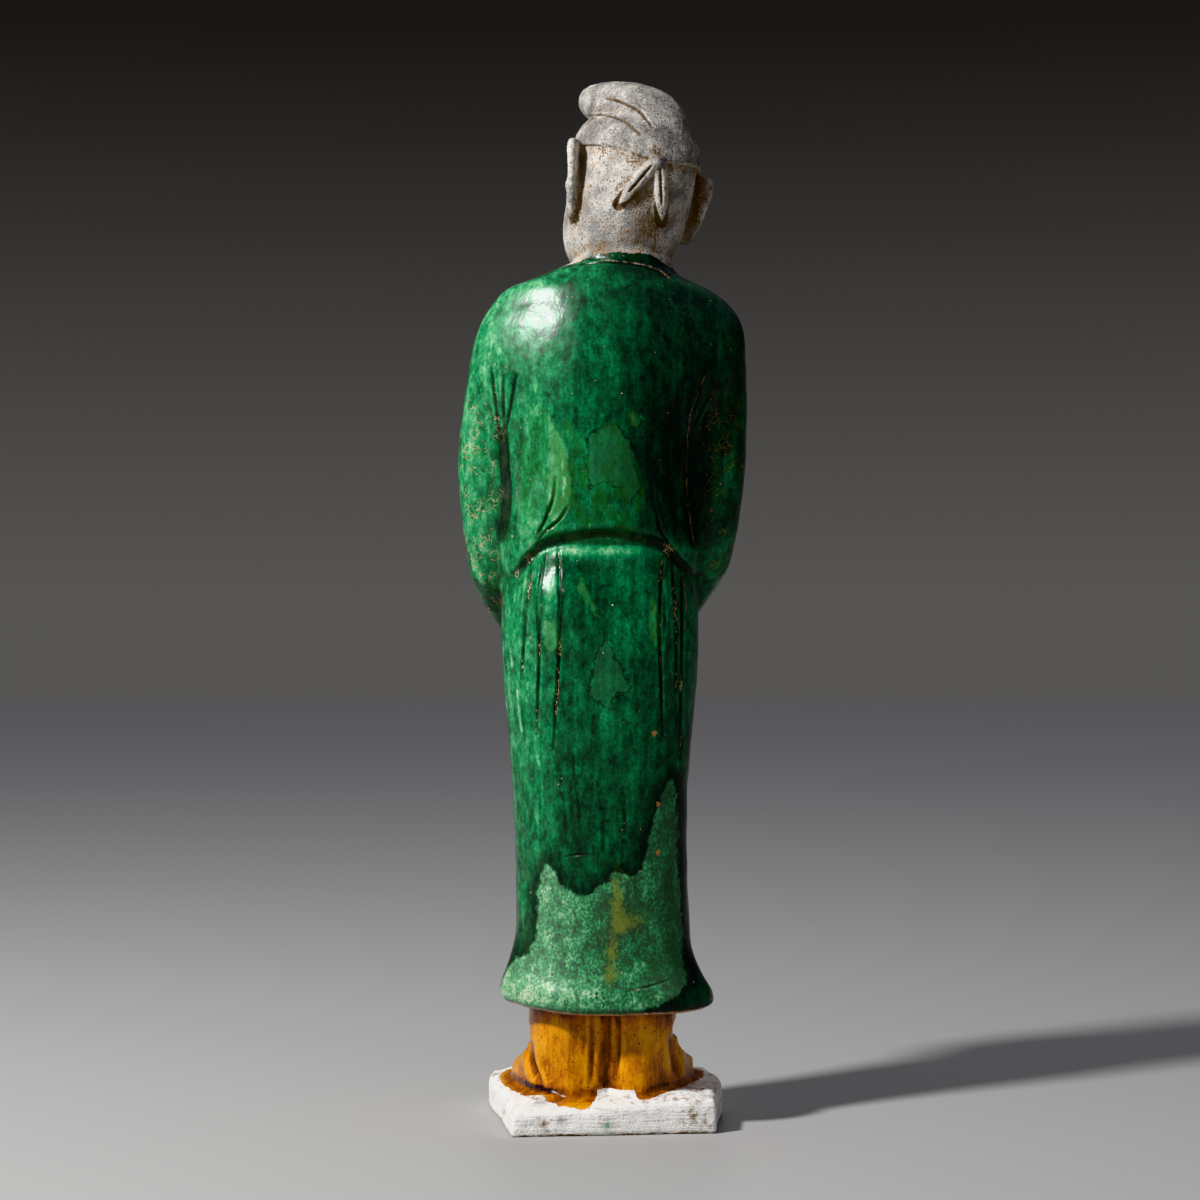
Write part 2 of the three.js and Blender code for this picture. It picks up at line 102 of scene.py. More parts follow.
def add_node(tree, kind, links=None, stops=(), **settings):
    """A node with its settings. Each input in links gets a value or the output that feeds it, and a colour
    ramp gets its places and colours from stops."""
    node = tree.nodes.new(kind)
    for k, (place, code) in enumerate(stops):
        band = node.color_ramp.elements[k] if k < 2 else node.color_ramp.elements.new(place)
        band.position = place
        band.color = linear(code)
    for name, value in settings.items():
        setattr(node, name, value)
    for name, value in (links or {}).items():
        if isinstance(value, bpy.types.NodeSocket):
            tree.links.new(value, node.inputs[name])
        else:
            node.inputs[name].default_value = value
    return node


def new_material(name):
    """An empty material's node tree, with the material."""
    material = bpy.data.materials.new(name)
    material.use_nodes = True
    material.node_tree.nodes.clear()
    return material, material.node_tree


bpy.ops.mesh.primitive_plane_add(size=2 * FLOOR_REACH)
floor = bpy.context.object
floor.name = "studio_floor"
paper, tree = new_material("matt_paper")
matt = {"Base Color": linear(FLOOR_GREY), "Roughness": 1.0, "Specular IOR Level": 0.0}
surface = add_node(tree, "ShaderNodeBsdfPrincipled", matt)
add_node(tree, "ShaderNodeOutputMaterial", {"Surface": surface.outputs["BSDF"]})
floor.data.materials.append(paper)

aim = Vector((0, 0, LAMP_AIM))
away = Vector((math.sin(LAMP_AZIMUTH), math.cos(LAMP_AZIMUTH), math.tan(LAMP_HEIGHT)))
away *= math.cos(LAMP_HEIGHT)
bpy.ops.object.light_add(type="AREA", location=aim + LAMP_DISTANCE * away)
lamp = bpy.context.object
lamp.name = "soft_lamp"
lamp.rotation_euler = (-away).to_track_quat("-Z", "Y").to_euler()
lamp.data.shape = "DISK"
lamp.data.size = LAMP_WIDTH
lamp.data.energy = LAMP_POWER

bpy.ops.object.light_add(type="SUN", location=(0, -2, 1), rotation=(math.pi / 2 - FRONT_HEIGHT, 0, 0))
front_light = bpy.context.object
front_light.name = "front_light"
front_light.data.angle = FRONT_WIDTH
front_light.data.energy = FRONT_POWER
front_light.visible_glossy = False

surround = bpy.data.worlds.new("grey_surround")
surround.use_nodes = True
tree = surround.node_tree
direction = add_node(tree, "ShaderNodeTexCoord").outputs["Generated"]
height = add_node(tree, "ShaderNodeSeparateXYZ", {"Vector": direction}).outputs["Z"]
greys = add_node(tree, "ShaderNodeValToRGB", {"Fac": height}, stops=SURROUND)
tree.links.new(greys.outputs["Color"], tree.nodes["Background"].inputs["Color"])
bpy.context.scene.world = surround

# The clay body
# The whole figure is one piece of pale earthenware, pressed in moulds, luted and smoothed by hand before
# firing. It keeps the form of the solid, with its facets smoothed out and its surface fine enough to carve.

GRAIN = 1.6  # mm, the size of the faces after the mesh is made even
SMOOTHING_ROUNDS = 40
EDGE_REACH = 7  # mm, how far around an edge the smoothing is held back
BACK_ROUNDING = 8  # mm, how far the back falls away towards the arms

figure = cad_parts["officer_figure"].copy()
figure.data = figure.data.copy()
figure.parent = None
figure.name = "glazed_officer"
for key in list(figure.keys()):
    del figure[key]
bpy.context.scene.collection.objects.link(figure)
bpy.context.view_layer.objects.active = figure
figure.select_set(True)

bpy.ops.object.mode_set(mode="EDIT")
bpy.ops.mesh.select_all(action="SELECT")
bpy.ops.mesh.remove_doubles(threshold=0.01 * MM)
bpy.ops.object.mode_set(mode="OBJECT")


def finish_with(kind, **settings):
    """Adds a modifier to the figure and applies it."""
    modifier = figure.modifiers.new(kind.lower(), kind)
    for name, value in settings.items():
        setattr(modifier, name, value)
    bpy.ops.object.modifier_apply(modifier=modifier.name)


finish_with("REMESH", mode="VOXEL", voxel_size=GRAIN * MM)


def places():
    """The vertices in millimetres from the body's axis."""
    flat = np.empty(3 * len(figure.data.vertices), np.float32)
    figure.data.vertices.foreach_get("co", flat)
    return flat.reshape(-1, 3) / MM - (0, BODY_SETBACK, 0)


def put(points):
    """Moves the vertices to these places, in millimetres from the body's axis."""
    flat = (points + (0, BODY_SETBACK, 0)) * MM
    figure.data.vertices.foreach_set("co", flat.astype(np.float32).ravel())
    figure.data.update()


def facings():
    """The vertices' normals."""
    flat = np.empty(3 * len(figure.data.vertices), np.float32)
    figure.data.vertex_normals.foreach_get("vector", flat)
    return flat.reshape(-1, 3).astype(float)


def ramp(value, low, high):
    """0 below low, 1 above high, eased between them."""
    t = np.clip((value - low) / (high - low), 0, 1)
    return t * t * (3 - 2 * t)


def ridge(value, middle, width):
    """A rounded ridge of height 1 along a line."""
    return np.exp(-(((value - middle) / width) ** 2))


HEAD_AT = np.array([-20, -4, 630])
HEAD_TURN = math.radians(20)  # the face turns to the figure's left
HEAD_LEAN = math.radians(11)  # and the crown leans to its right
HEAD_FRAME = np.array(Matrix.Rotation(-HEAD_LEAN, 3, "Y") @ Matrix.Rotation(HEAD_TURN, 3, "Z"))
COLLAR = 581  # mm, height of the collar's upper edge at the back
COLLAR_SLOPE = 0.12  # it falls this much for each millimetre forward
COLLAR_BACK = 32  # mm from the axis to the collar's back
BELT = 388  # mm, height of the belt at the middle of the back
BELT_DROP = 22  # it hangs this much lower at the sides
HEM = 79
SLAB_TOP = 24
BAND = 17  # mm above the middle of the head, the cap's lower edge


def in_head(points):
    """The points in the head's own frame: the face looks to -Y."""
    return (points - HEAD_AT) @ HEAD_FRAME


def above_collar(points):
    """How far the points are above the upper edge of the collar."""
    return points[:, 2] - COLLAR - COLLAR_SLOPE * (points[:, 1] - COLLAR_BACK)


# Smoothing is held back at the collar, the hem and the belt, in the valleys between the back and the
# sleeves and on the face, and all but left off on the slab.
points = places()
x, y, z = points.T
local = in_head(points)
belt_line = BELT + 1 - BELT_DROP * ramp(np.abs(x), 34, 64)
from_edges = [above_collar(points), z - HEM, z - belt_line]
softness = 1 - 0.75 * np.maximum.reduce([ridge(gap, 0, EDGE_REACH) for gap in from_edges])
in_valley = ramp(np.abs(x), 48, 56) * (1 - ramp(np.abs(x), 70, 78)) * (y > 0)
in_valley *= ramp(z, 375, 395) * (1 - ramp(z, 455, 480))
softness *= 1 - 0.6 * in_valley
head_share = ramp(above_collar(points), -1, 6)
cap_back = ramp(local[:, 1], 2, 16) * ramp(local[:, 2], BAND + 4, BAND + 12)
cap_back *= 1 - ramp(local[:, 0], 18, 30)
softness = softness * (1 - head_share) + (0.22 + 0.6 * cap_back) * head_share
softness *= 0.03 + 0.97 * ramp(z, SLAB_TOP - 1, SLAB_TOP + 4)
share = figure.vertex_groups.new(name="softness")
for step in range(1, 21):
    chosen = np.flatnonzero(np.round(softness * 20) == step)
    share.add(chosen.tolist(), step / 20, "REPLACE")
finish_with("SMOOTH", factor=0.5, iterations=SMOOTHING_ROUNDS, vertex_group="softness")

points = places()
away = ramp(np.abs(points[:, 0]), 6, 78) * ramp(points[:, 2], 395, 440) * (1 - ramp(points[:, 2], 545, 572))
points[:, 1] -= BACK_ROUNDING * away * ramp(points[:, 1], 5, 40)
put(points)

# The robe
# A long round-collared robe bloused over a belt, its hands hidden in the joined sleeves. Its folds are cut
# into the wet clay with a pointed stick, from [left, height] place to place, seen from behind or in front.

# Half width and depth of each kind of cut, and the share of it that is pushed up beside it.
FOLD_CUT = (1.25, 1.5)
SLEEVE_CUT = (3.8, 3.4)
BELT_CUT = (3.6, 2.6)
FINE_CUT = (0.9, 0.7)
PUSHED_UP = 0.4
# Where the cloth swells: middle, reach and height.
SWELLS = [((32, 350), (17, 21), 8.5), ((2, 380), (38, 6), 2.5)]
SKIRT_FOLDS = [
    [[29, 386], [27, 350], [28, 331], [30, 292], [33, 252]],
    [[38, 383], [41, 337], [42, 311], [44, 262]],
    [[47, 373], [51, 337], [54, 298]],
    [[-39, 379], [-37, 337], [-38, 301], [-39, 262]],
    [[-45, 379], [-48, 337], [-48, 291]],
    [[-52, 369], [-52, 330], [-51, 245]],
]
ARMPIT_FOLDS = [
    [[74, 504], [71, 480], [68, 455]],
    [[66, 499], [66, 478], [65, 459]],
    [[57, 499], [61, 478], [66, 457]],
    [[-68, 502], [-63, 486], [-58, 466]],
    [[-71, 487], [-66, 477], [-60, 465]],
]
BLOUSE_FOLDS = [
    [[31, 431], [33, 416], [38, 403], [44, 391]],
    [[23, 412], [28, 404], [36, 397], [42, 391]],
    [[-35, 409], [-39, 394], [-50, 379], [-60, 369]],
]
# The cut along the belt, beneath the blouse; its dark glaze is partly painted shade under the overhang.
BELT_FOLD_AND_SHADE = [
    [[57, 368], [46, 382], [36, 389], [20, 392.5], [-2, 394.5], [-22, 392], [-38, 387.5], [-48, 377.5],
     [-60, 368]],
]
SLEEVE_EDGES = [
    [[67, 462], [65, 440], [64, 415], [67, 392]],
    [[-59, 468], [-58, 440], [-57, 415], [-60, 388]],
]
HEM_CRACKS = [
    [[-14, 94], [-28, 96.5], [-43, 100]],
    [[25, 182], [14, 183.5], [2, 184]],
]
MUFF_FOLDS = [
    [[-1, 428], [-2, 370], [-1, 310]],
    [[19, 424], [33, 390], [42, 346]],
    [[-19, 424], [-33, 390], [-42, 350]],
    [[33, 430], [50, 404], [60, 368]],
    [[-33, 430], [-50, 406], [-60, 372]],
    [[10, 420], [16, 380], [17, 335]],
    [[-11, 420], [-17, 380], [-19, 338]],
]
FRONT_FOLDS = [
    [[18, 288], [23, 200], [28, 112]],
    [[-18, 288], [-22, 200], [-27, 112]],
    [[34, 292], [40, 215], [42, 150]],
    [[-35, 292], [-40, 225], [-41, 160]],
    [[62, 500], [58, 480], [53, 452]],
    [[-64, 500], [-60, 480], [-54, 452]],
    [[30, 574], [18, 566], [-6, 561], [-30, 566], [-44, 575]],
]
COLLAR_LINES = [
    [[24, 572], [10, 573], [-6, 573.5], [-24, 571.5], [-38, 567], [-46, 562]],
]


def spot(x, z, at, reach):
    """A round bump of height 1 about a place, with its reach across and up."""
    return np.exp(-(((x - at[0]) / reach[0]) ** 2) - ((z - at[1]) / reach[1]) ** 2)


def bumps(x, z, rows):
    """The sum of some round bumps, each with its middle, reach and height."""
    return sum(height * spot(x, z, at, reach) for at, reach, height in rows)


def curve_through(stops, steps=6):
    """A smooth path through a few stops."""
    stops = np.array(stops, float)
    if len(stops) < 3:
        t = np.linspace(0, 1, steps + 1)[:, None]
        return stops[0] + t * (stops[-1] - stops[0])
    ends = np.vstack([2 * stops[0] - stops[1], stops, 2 * stops[-1] - stops[-2]])
    path = []
    for a, b, c, d in zip(ends, ends[1:], ends[2:], ends[3:]):
        for t in np.arange(steps) / steps:
            bent = (2 * a - 5 * b + 4 * c - d) * t**2 + (3 * b - a - 3 * c + d) * t**3
            path.append(0.5 * (2 * b + (c - a) * t + bent))
    return np.vstack([path, stops[-1]])


def from_path(points, path):
    """How far each point is from a path, and how far along the path, from 0 to 1, it lies."""
    nearest = np.full(len(points), 1e6)
    along = np.zeros(len(points))
    for k, (start, end) in enumerate(zip(path, path[1:])):
        step = end - start
        t = np.clip((points - start) @ step / (step @ step), 0, 1)
        gap = np.linalg.norm(points - start - t[:, None] * step, axis=1)
        closer = gap < nearest
        nearest[closer] = gap[closer]
        along[closer] = (k + t[closer]) / (len(path) - 1)
    return nearest, along


def refine(chosen):
    """Splits the faces that touch a chosen vertex into four."""
    loops = np.empty(len(figure.data.loops), np.int32)
    figure.data.loops.foreach_get("vertex_index", loops)
    starts = np.empty(len(figure.data.polygons), np.int32)
    figure.data.polygons.foreach_get("loop_start", starts)
    inside = np.logical_or.reduceat(chosen[loops], starts)
    bpy.ops.object.mode_set(mode="EDIT")
    bpy.ops.mesh.select_mode(type="FACE")
    bpy.ops.mesh.select_all(action="DESELECT")
    bpy.ops.object.mode_set(mode="OBJECT")
    figure.data.polygons.foreach_set("select", inside)
    bpy.ops.object.mode_set(mode="EDIT")
    bpy.ops.mesh.subdivide(number_cuts=1)
    bpy.ops.object.mode_set(mode="OBJECT")


def engraved(points, facing, lines, side, width, depth):
    """How deep each vertex is cut, and how much is pushed up beside the cut, by lines on the back (side 1)
    or on the front (side -1)."""
    flat = points[:, [0, 2]]
    cut = np.zeros(len(points))
    lip = np.zeros(len(points))
    seen = side * facing[:, 1] > 0.1
    for line in lines:
        path = curve_through(line)
        close_by = (flat > path.min(0) - 4 * width) & (flat < path.max(0) + 4 * width)
        near = np.flatnonzero(seen & np.all(close_by, axis=1))
        gap, along = from_path(flat[near], path)
        full = depth * np.sin(np.pi * np.clip(along, 0.02, 0.98)) ** 0.35
        cut[near] = np.maximum(cut[near], full * np.clip(1 - gap / width, 0, 1) ** 0.8)
        lip[near] = np.maximum(lip[near], PUSHED_UP * full * ridge(gap, 1.6 * width, 0.6 * width))
    return cut, lip


def joined(cuts):
    """Several engravings as one."""
    return np.maximum.reduce([cut for cut, _ in cuts]), np.maximum.reduce([lip for _, lip in cuts])


def folds(points, facing):
    """All the cuts in the robe: how deep, and how much is pushed up beside them."""
    return joined([
        engraved(points, facing, SKIRT_FOLDS + ARMPIT_FOLDS + BLOUSE_FOLDS, 1, *FOLD_CUT),
        engraved(points, facing, SLEEVE_EDGES, 1, *SLEEVE_CUT),
        engraved(points, facing, BELT_FOLD_AND_SHADE, 1, *BELT_CUT),
        engraved(points, facing, HEM_CRACKS + COLLAR_LINES, 1, *FINE_CUT),
        engraved(points, facing, MUFF_FOLDS + FRONT_FOLDS, -1, *FOLD_CUT),
    ])


refine(folds(places(), facings())[0] > 0)

points, facing = places(), facings()
x, z = points[:, 0], points[:, 2]
cut, lip = folds(points, facing)
swell = bumps(x, z, SWELLS) * (facing[:, 1] > 0)
robe_share = (above_collar(points) <= 1) * ramp(z, HEM - 3, HEM + 2)
put(points + facing * ((lip - cut + swell) * robe_share)[:, None])

# The head
# Pressed in a mould of its own and set on the neck, tilted and turned to the left. The face is plain and
# calm, the cap soft with a high lobe, tied behind with a knot and two ribbon tails.

# Places on the face are across and above the middle of the head, the same on both sides.
EYE = (16, -2.4)
EYE_WIDTH = 8.2
BROW = (17, 6.8)
BROW_WIDTH = 13
PAINTED_BROW_WIDTH = 12.5
MOUTH = -39.6
# Middle, reach and height.
FEATURES = [
    ((5.8, -24.2), (2.6, 2.8), 1.9),  # wings of the nose
    ((0, -24.5), (3.2, 3.0), 1.0),  # its tip
    ((3.3, -27.8), (1.5, 1.1), -1.8),  # nostrils
    ((8.8, -24), (1.0, 3.2), -0.8),  # creases beside the wings
    ((0, -32.4), (1.5, 2.6), -0.7),  # groove down to the lip
    ((13, -39.2), (1.5, 1.5), -0.9),  # corners of the mouth
]
CAP_CUT = (1.2, 2.2)
BAND_CUT = 0.7
CAP_LINES = [
    [[-2.6, 687], [-11.4, 682.5], [-18, 678.5], [-24.7, 673.2], [-33, 662.5]],
    [[12, 680], [4.6, 676], [-3.3, 673], [-10, 669.6], [-18, 663.8], [-24.6, 657]],
]
RIBBONS = [((3, 45, 12), (20, 39, -20)), ((0, 45, 12), (-10.5, 41.5, -24))]
RIBBON_HALF_WIDTH = 4.6
RIBBON_RISE = 1.5
EARS = {1: (27, -6.5), -1: (24.5, -8)}  # half height and middle of each ear
EAR_OUT = 44.5
EAR_BACK = 6
EAR_FLARE = math.radians(24)
EAR_TILT = math.radians(10)


def from_head(local):
    """Places in the head's own frame, from the body's axis."""
    return np.array(local, float) @ HEAD_FRAME.T + HEAD_AT


def along_eye(x):
    """How far along an eye each place is, from -1 to 1, and the height of its upper lid there."""
    u = (x - EYE[0]) / EYE_WIDTH
    return u, EYE[1] + 0.8 * u + 3.0 * np.clip(1 - u**2, 0, 1) ** 0.8


def along_brow(x, half_width):
    """How far along a brow each place is, from -1 to 1, and the height of the brow there."""
    v = (x - BROW[0]) / half_width
    return v, BROW[1] + 3.4 * (1 - v**2)


def face_relief(local):
    """How far the finer features stand forward of the plain moulded face."""
    x, z = np.abs(local[:, 0]), local[:, 2]
    u, upper = along_eye(x)
    opened = np.clip(1 - u**2, 0, 1)
    lower = EYE[1] + 0.8 * u - 1.9 * opened
    eyeball = ramp(z, lower - 0.3, lower + 0.5) * (1 - ramp(z, upper - 0.5, upper + 0.3)) * (np.abs(u) < 1)
    relief = 1.5 * eyeball * (opened - 1)
    relief += (0.9 * ridge(z, upper + 0.9, 0.9) + 0.5 * ridge(z, lower - 0.9, 0.9)) * opened**0.4
    relief -= 0.7 * ridge(z, upper + 3.0, 0.8) * np.clip(1 - (u / 1.1) ** 2, 0, 1)
    v, brow = along_brow(x, BROW_WIDTH)
    relief += 0.9 * ridge(z, brow, 1.5) * np.clip(1 - v**2, 0, 1) ** 0.5
    mouth = MOUTH + 0.9 * (x / 12) ** 2 - 0.5 * ridge(x, 0, 2.2)
    lips = np.clip(1 - (x / 12.5) ** 2, 0, 1)
    relief -= 1.7 * ridge(z, mouth, 0.85) * lips**0.4
    relief += 0.9 * ridge(z, mouth + 2.2, 1.3) * lips
    relief += 1.2 * ridge(z, mouth - 2.4, 1.5) * np.clip(1 - (x / 9.5) ** 2, 0, 1)
    return relief + bumps(x, z, FEATURES)


def ear_cut(local, side):
    """How deep the hollow of an ear goes, behind its rim and around its inner fold."""
    half_height, middle = EARS[side]
    turn = Matrix.Rotation(-side * EAR_FLARE, 3, "Z") @ Matrix.Rotation(side * EAR_TILT, 3, "Y")
    own = (local - (side * EAR_OUT, EAR_BACK, middle)) @ np.array(turn)
    across = (own[:, 1] - 0.5) / 12
    up = (own[:, 2] - 2) / (0.84 * half_height)
    ring = np.hypot(across, up)
    outer = ramp(side * own[:, 0], 0.5, 2.5) * (np.abs(own[:, 2]) < half_height + 1) * (ring < 1.3)
    hollow = 2.6 * (1 - ramp(ring, 0.52, 0.76)) - 1.7 * ridge(ring, 0.36, 0.1) * (across > -0.1)
    above_lobe = ramp(own[:, 2], -0.72 * half_height, -0.35 * half_height)
    front_flap = 1.6 * spot(own[:, 1], own[:, 2], (-8.5, -3), (2.2, 4))
    return outer * (hollow * above_lobe - front_flap)


def band_gap(local):
    """Height above the cap's lower edge, which dips to the knot at the back."""
    dip = 4 * (1 - ramp(np.abs(local[:, 0]), 4, 34)) * (local[:, 1] > 0)
    return local[:, 2] - BAND + dip


def head_lines(points, facing):
    """The cuts in the cap and down the middle of each ribbon, which swells like a leaf beside its slit."""
    cut, lip = engraved(points, facing, CAP_LINES, 1, *CAP_CUT)
    behind = facing[:, 1] > 0.1
    for ribbon in RIBBONS:
        gap, along = from_path(points[:, [0, 2]], from_head(ribbon)[:, [0, 2]])
        swell = behind * np.sin(np.pi * np.clip(along, 0.01, 0.99)) ** 0.7
        on_ribbon = 1 - ramp(gap, RIBBON_HALF_WIDTH - 1, RIBBON_HALF_WIDTH + 0.6)
        lip = np.maximum(lip, RIBBON_RISE * swell * on_ribbon)
        leaf = RIBBON_HALF_WIDTH * np.sin(np.pi * np.clip(0.12 + 0.88 * along, 0.01, 0.99)) ** 0.7
        trimmed = behind * ramp(gap, leaf, leaf + 0.8) * (1 - ramp(gap, 3.6, 5)) * (along > 0.3)
        slit = swell * np.clip(1 - gap, 0, 1) * (along > 0.1) * (1 - ramp(along, 0.6, 0.8))
        cut = np.maximum.reduce([cut, 2.6 * trimmed, 2.8 * slit])
    return cut, lip


points, facing = places(), facings()
local = in_head(points)
on_face = (local[:, 1] < -14) & (local[:, 2] < BAND + 2)
on_ears = np.abs(local[:, 0]) > 38
lines_here = head_lines(points, facing)[0] > 0
refine((above_collar(points) > 1) & (lines_here | on_face | on_ears))

points, facing = places(), facings()
local = in_head(points)
on_head = above_collar(points) > 1
cut, lip = head_lines(points, facing)
band = band_gap(local)
cut += BAND_CUT * (ridge(band, -0.9, 0.8) - 0.6 * ridge(band, 0.8, 0.9)) * (np.abs(local[:, 0]) < 43)
shift = facing * (lip - cut)[:, None]
in_front = ramp(-local[:, 1], 24, 32) * (local[:, 2] < BAND - 1)
shift -= np.outer(face_relief(local) * in_front, HEAD_FRAME[:, 1])
for side in EARS:
    shift -= side * np.outer(ear_cut(local, side), HEAD_FRAME[:, 0])
put(points + shift * on_head[:, None])

# The slab and the boots
# The slab is cut from a thick sheet of clay with a blade that dragged its sides, and its edges are chipped.
# The boots are modelled on it by hand.

# Each boot's footprint: place of the shaft, half width, turn in degrees, how far its glaze ran out on the
# slab, and between which places from right to left the run begins.
FOOTPRINTS = [((20.5, 5), 28, 20, (6.5, 3, 8)), ((-25.5, 5), 22, -22, (3.5, -20, -26))]
FOOT_AHEAD = 24
FOOT_HALF_LENGTH = 54
# Each shaft: its side, how far out it reaches and the height of the foot beside it.
SHAFTS = [(1, 48.6, 53), (-1, 46.5, 58)]
FOOT_BEYOND = 15
TOP_BEYOND = 6
DRAWN_IN = 0.85
FOOT_CREASES = [
    [[49, 54], [48, 43], [44.5, 34], [42, 28]],
    [[-46.5, 59], [-48, 46], [-49.5, 34]],
]
SHAFT_CREASES = [
    [[7, 76], [7, 52], [8, 32]],
    [[-10, 76], [-10, 55], [-7.5, 34]],
]
FOOT_CUT = (3.4, 3)
SHAFT_CUT = (2.2, 1.8)
SLAB_ROUGHNESS = 1.4
CHIP_DEPTH = 3
HAND_MARKS = 1.2
CRUST = 0.6


def boot_creases(points, facing):
    """The creases in the boots: deep ones between shaft and foot, lighter ones down the shafts."""
    return joined([
        engraved(points, facing, FOOT_CREASES, 1, *FOOT_CUT),
        engraved(points, facing, SHAFT_CREASES, 1, *SHAFT_CUT),
    ])


def boot_reach(points):
    """How far points lie inside the honey glaze, which ran out on the slab a little around each boot."""
    reach = np.where(points[:, 2] > SLAB_TOP + 3.5, 12.0, -30.0)
    for (x, y), half_width, turn, pool in FOOTPRINTS:
        turned = Matrix.Rotation(math.radians(turn), 2)
        own = (points[:, :2] - (x, y)) @ np.array(turned)
        across, along = own[:, 0] / half_width, (own[:, 1] + FOOT_AHEAD) / FOOT_HALF_LENGTH
        ring = (np.abs(across) ** 2.5 + np.abs(along) ** 2.5) ** 0.4
        ran_out, none, full = pool
        spread = -1.5 + (ran_out + 1.5) * ramp((points[:, 0] - none) / (full - none), 0, 1)
        reach = np.maximum(reach, spread - (ring - 1) * half_width)
    return reach


def roughen(name, where, grain, height, depth=2):
    """Lumps of a size and height in millimetres where the share says, as hands or a blade leave them."""
    lumps = bpy.data.textures.new(name, "CLOUDS")
    lumps.noise_scale = grain * MM
    lumps.noise_depth = depth
    group = figure.vertex_groups.new(name=name)
    for step in range(1, 11):
        chosen = np.flatnonzero(np.round(where * 10) == step)
        group.add(chosen.tolist(), step / 10, "REPLACE")
    finish_with("DISPLACE", texture=lumps, texture_coords="LOCAL", strength=height * MM, vertex_group=name)
    figure.vertex_groups.remove(figure.vertex_groups[name])


refine(boot_creases(places(), facings())[0] > 0)

points, facing = places(), facings()
z = points[:, 2]
cut, lip = boot_creases(points, facing)
moved = points + facing * ((lip - cut) * (z < HEM - 2) * (z > SLAB_TOP + 3))[:, None]
on_boots = (z > SLAB_TOP + 2) & (z < HEM - 1)
for side, shaft, foot_top in SHAFTS:
    reach = shaft + FOOT_BEYOND * (1 - ramp(z, foot_top - 6, foot_top)) + TOP_BEYOND * ramp(z, 64, 76)
    moved[:, 0] -= side * DRAWN_IN * np.maximum(side * moved[:, 0] - reach, 0) * on_boots
put(moved)

points = places()
z = points[:, 2]
on_head = above_collar(points) > 1
slab_side = (1 - ramp(z, SLAB_TOP - 4, SLAB_TOP + 1)) * ramp(z, 0.2, 2)
slab_edge = ridge(z, SLAB_TOP - 1, 3) * (boot_reach(points) < -4)
roughen("hand_marks", (1 - ramp(above_collar(points), -4, 4)) * ramp(z, 30, 60), 24, HAND_MARKS)
roughen("blade_marks", slab_side, 9, SLAB_ROUGHNESS, 3)
roughen("chipped_edge", slab_edge, 4, CHIP_DEPTH, 3)
roughen("earth_crust", on_head * 1.0, 3.5, CRUST, 3)

TRIANGLES = 190000
finish_with("TRIANGULATE")
finish_with("DECIMATE", ratio=TRIANGLES / len(figure.data.polygons))
lowest, highest = np.array(cad_box) / MM - (0, BODY_SETBACK, 0)
put(np.clip(places(), lowest, highest))
figure.data.shade_smooth()

# The glaze and the clay
# Emerald lead glaze on the robe, honey glaze on the boots, both brushed on over white slip and run in the
# kiln; the head and the slab are bare. Where each one ends is kept on the mesh, in millimetres, so that the
# edges of runs, pools and chips stay crisp.


def keep(name, values):
    """Keeps one value for each vertex on the mesh."""
    attribute = figure.data.attributes.new(name, "FLOAT", "POINT")
    attribute.data.foreach_set("value", np.asarray(values, np.float32))


def inside(points, outline):
    """How far points lie inside a closed smooth outline; negative outside."""
    ring = curve_through(list(outline) + [outline[0]], 4)
    gap, _ = from_path(points, ring)
    crossings = np.zeros(len(points), int)
    for (x0, z0), (x1, z1) in zip(ring, ring[1:]):
        spans = (z0 > points[:, 1]) != (z1 > points[:, 1])
        reach = x0 + (points[:, 1] - z0) / ((z1 - z0) or 1) * (x1 - x0)
        crossings += spans & (points[:, 0] < reach)
    return np.where(crossings % 2 == 1, gap, -gap)


def hollowness(points, facing, rounds):
    """How far each vertex lies below the even surface around it, in millimetres."""
    edges = np.empty(2 * len(figure.data.edges), np.int32)
    figure.data.edges.foreach_get("vertices", edges)
    start, end = edges.reshape(-1, 2).T
    count = np.bincount(start, minlength=len(points)) + np.bincount(end, minlength=len(points))
    even = points.copy()
    for _ in range(rounds):
        total = np.zeros_like(even)
        for axis in range(3):
            total[:, axis] = np.bincount(start, even[end, axis], len(points))
            total[:, axis] += np.bincount(end, even[start, axis], len(points))
        even = total / count[:, None]
    return ((even - points) * facing).sum(1)


def nearest_line(lines):
    """How far each vertex at the back lies from the nearest of some lines seen from behind."""
    gap = np.full(len(points), 30.0)
    for line in lines:
        gap[back] = np.minimum(gap[back], from_path(flat[back], curve_through(line))[0])
    return gap


def spots(places_and_reaches):
    """The sum of some round bumps at the back, at most 1."""
    return behind * np.clip(sum(spot(*flat.T, at, reach) for at, reach in places_and_reaches), 0, 1)


# All of these are [left, height] on the back. The thick glaze ran down the skirt and stopped at the edge of
# the pale zone; a first thick coat ended half way down the back.
PALE_ZONE = [
    (36, 178), (32, 171), (28.5, 165.5), (23, 160), (13.4, 156.3), (7.6, 158), (3.7, 162.5),
    (-2, 164.5), (-5, 170.5), (-10, 172.5), (-17.7, 169.5), (-25, 173.5), (-27, 180), (-29.5, 189),
    (-31.5, 199), (-37, 218), (-41, 226), (-47, 231), (-50, 199), (-49.5, 179), (-52, 150),
    (-53, 131), (-52.5, 115), (-56, 101), (-50, 92), (-38, 85), (-25, 80), (-10, 66), (30, 66),
    (60, 70), (72, 86), (66, 100), (58, 112), (51.5, 115), (47.5, 121), (44, 131), (42.7, 156),
    (41, 169.5),
]
COAT_ENDS = [
    (-90, 300), (-40, 300), (-31, 330), (-27, 424), (-21, 444), (-8, 467), (2, 463), (9, 452),
    (17, 460), (24, 472), (31, 462), (40, 480), (52, 476), (58, 380), (90, 380),
]
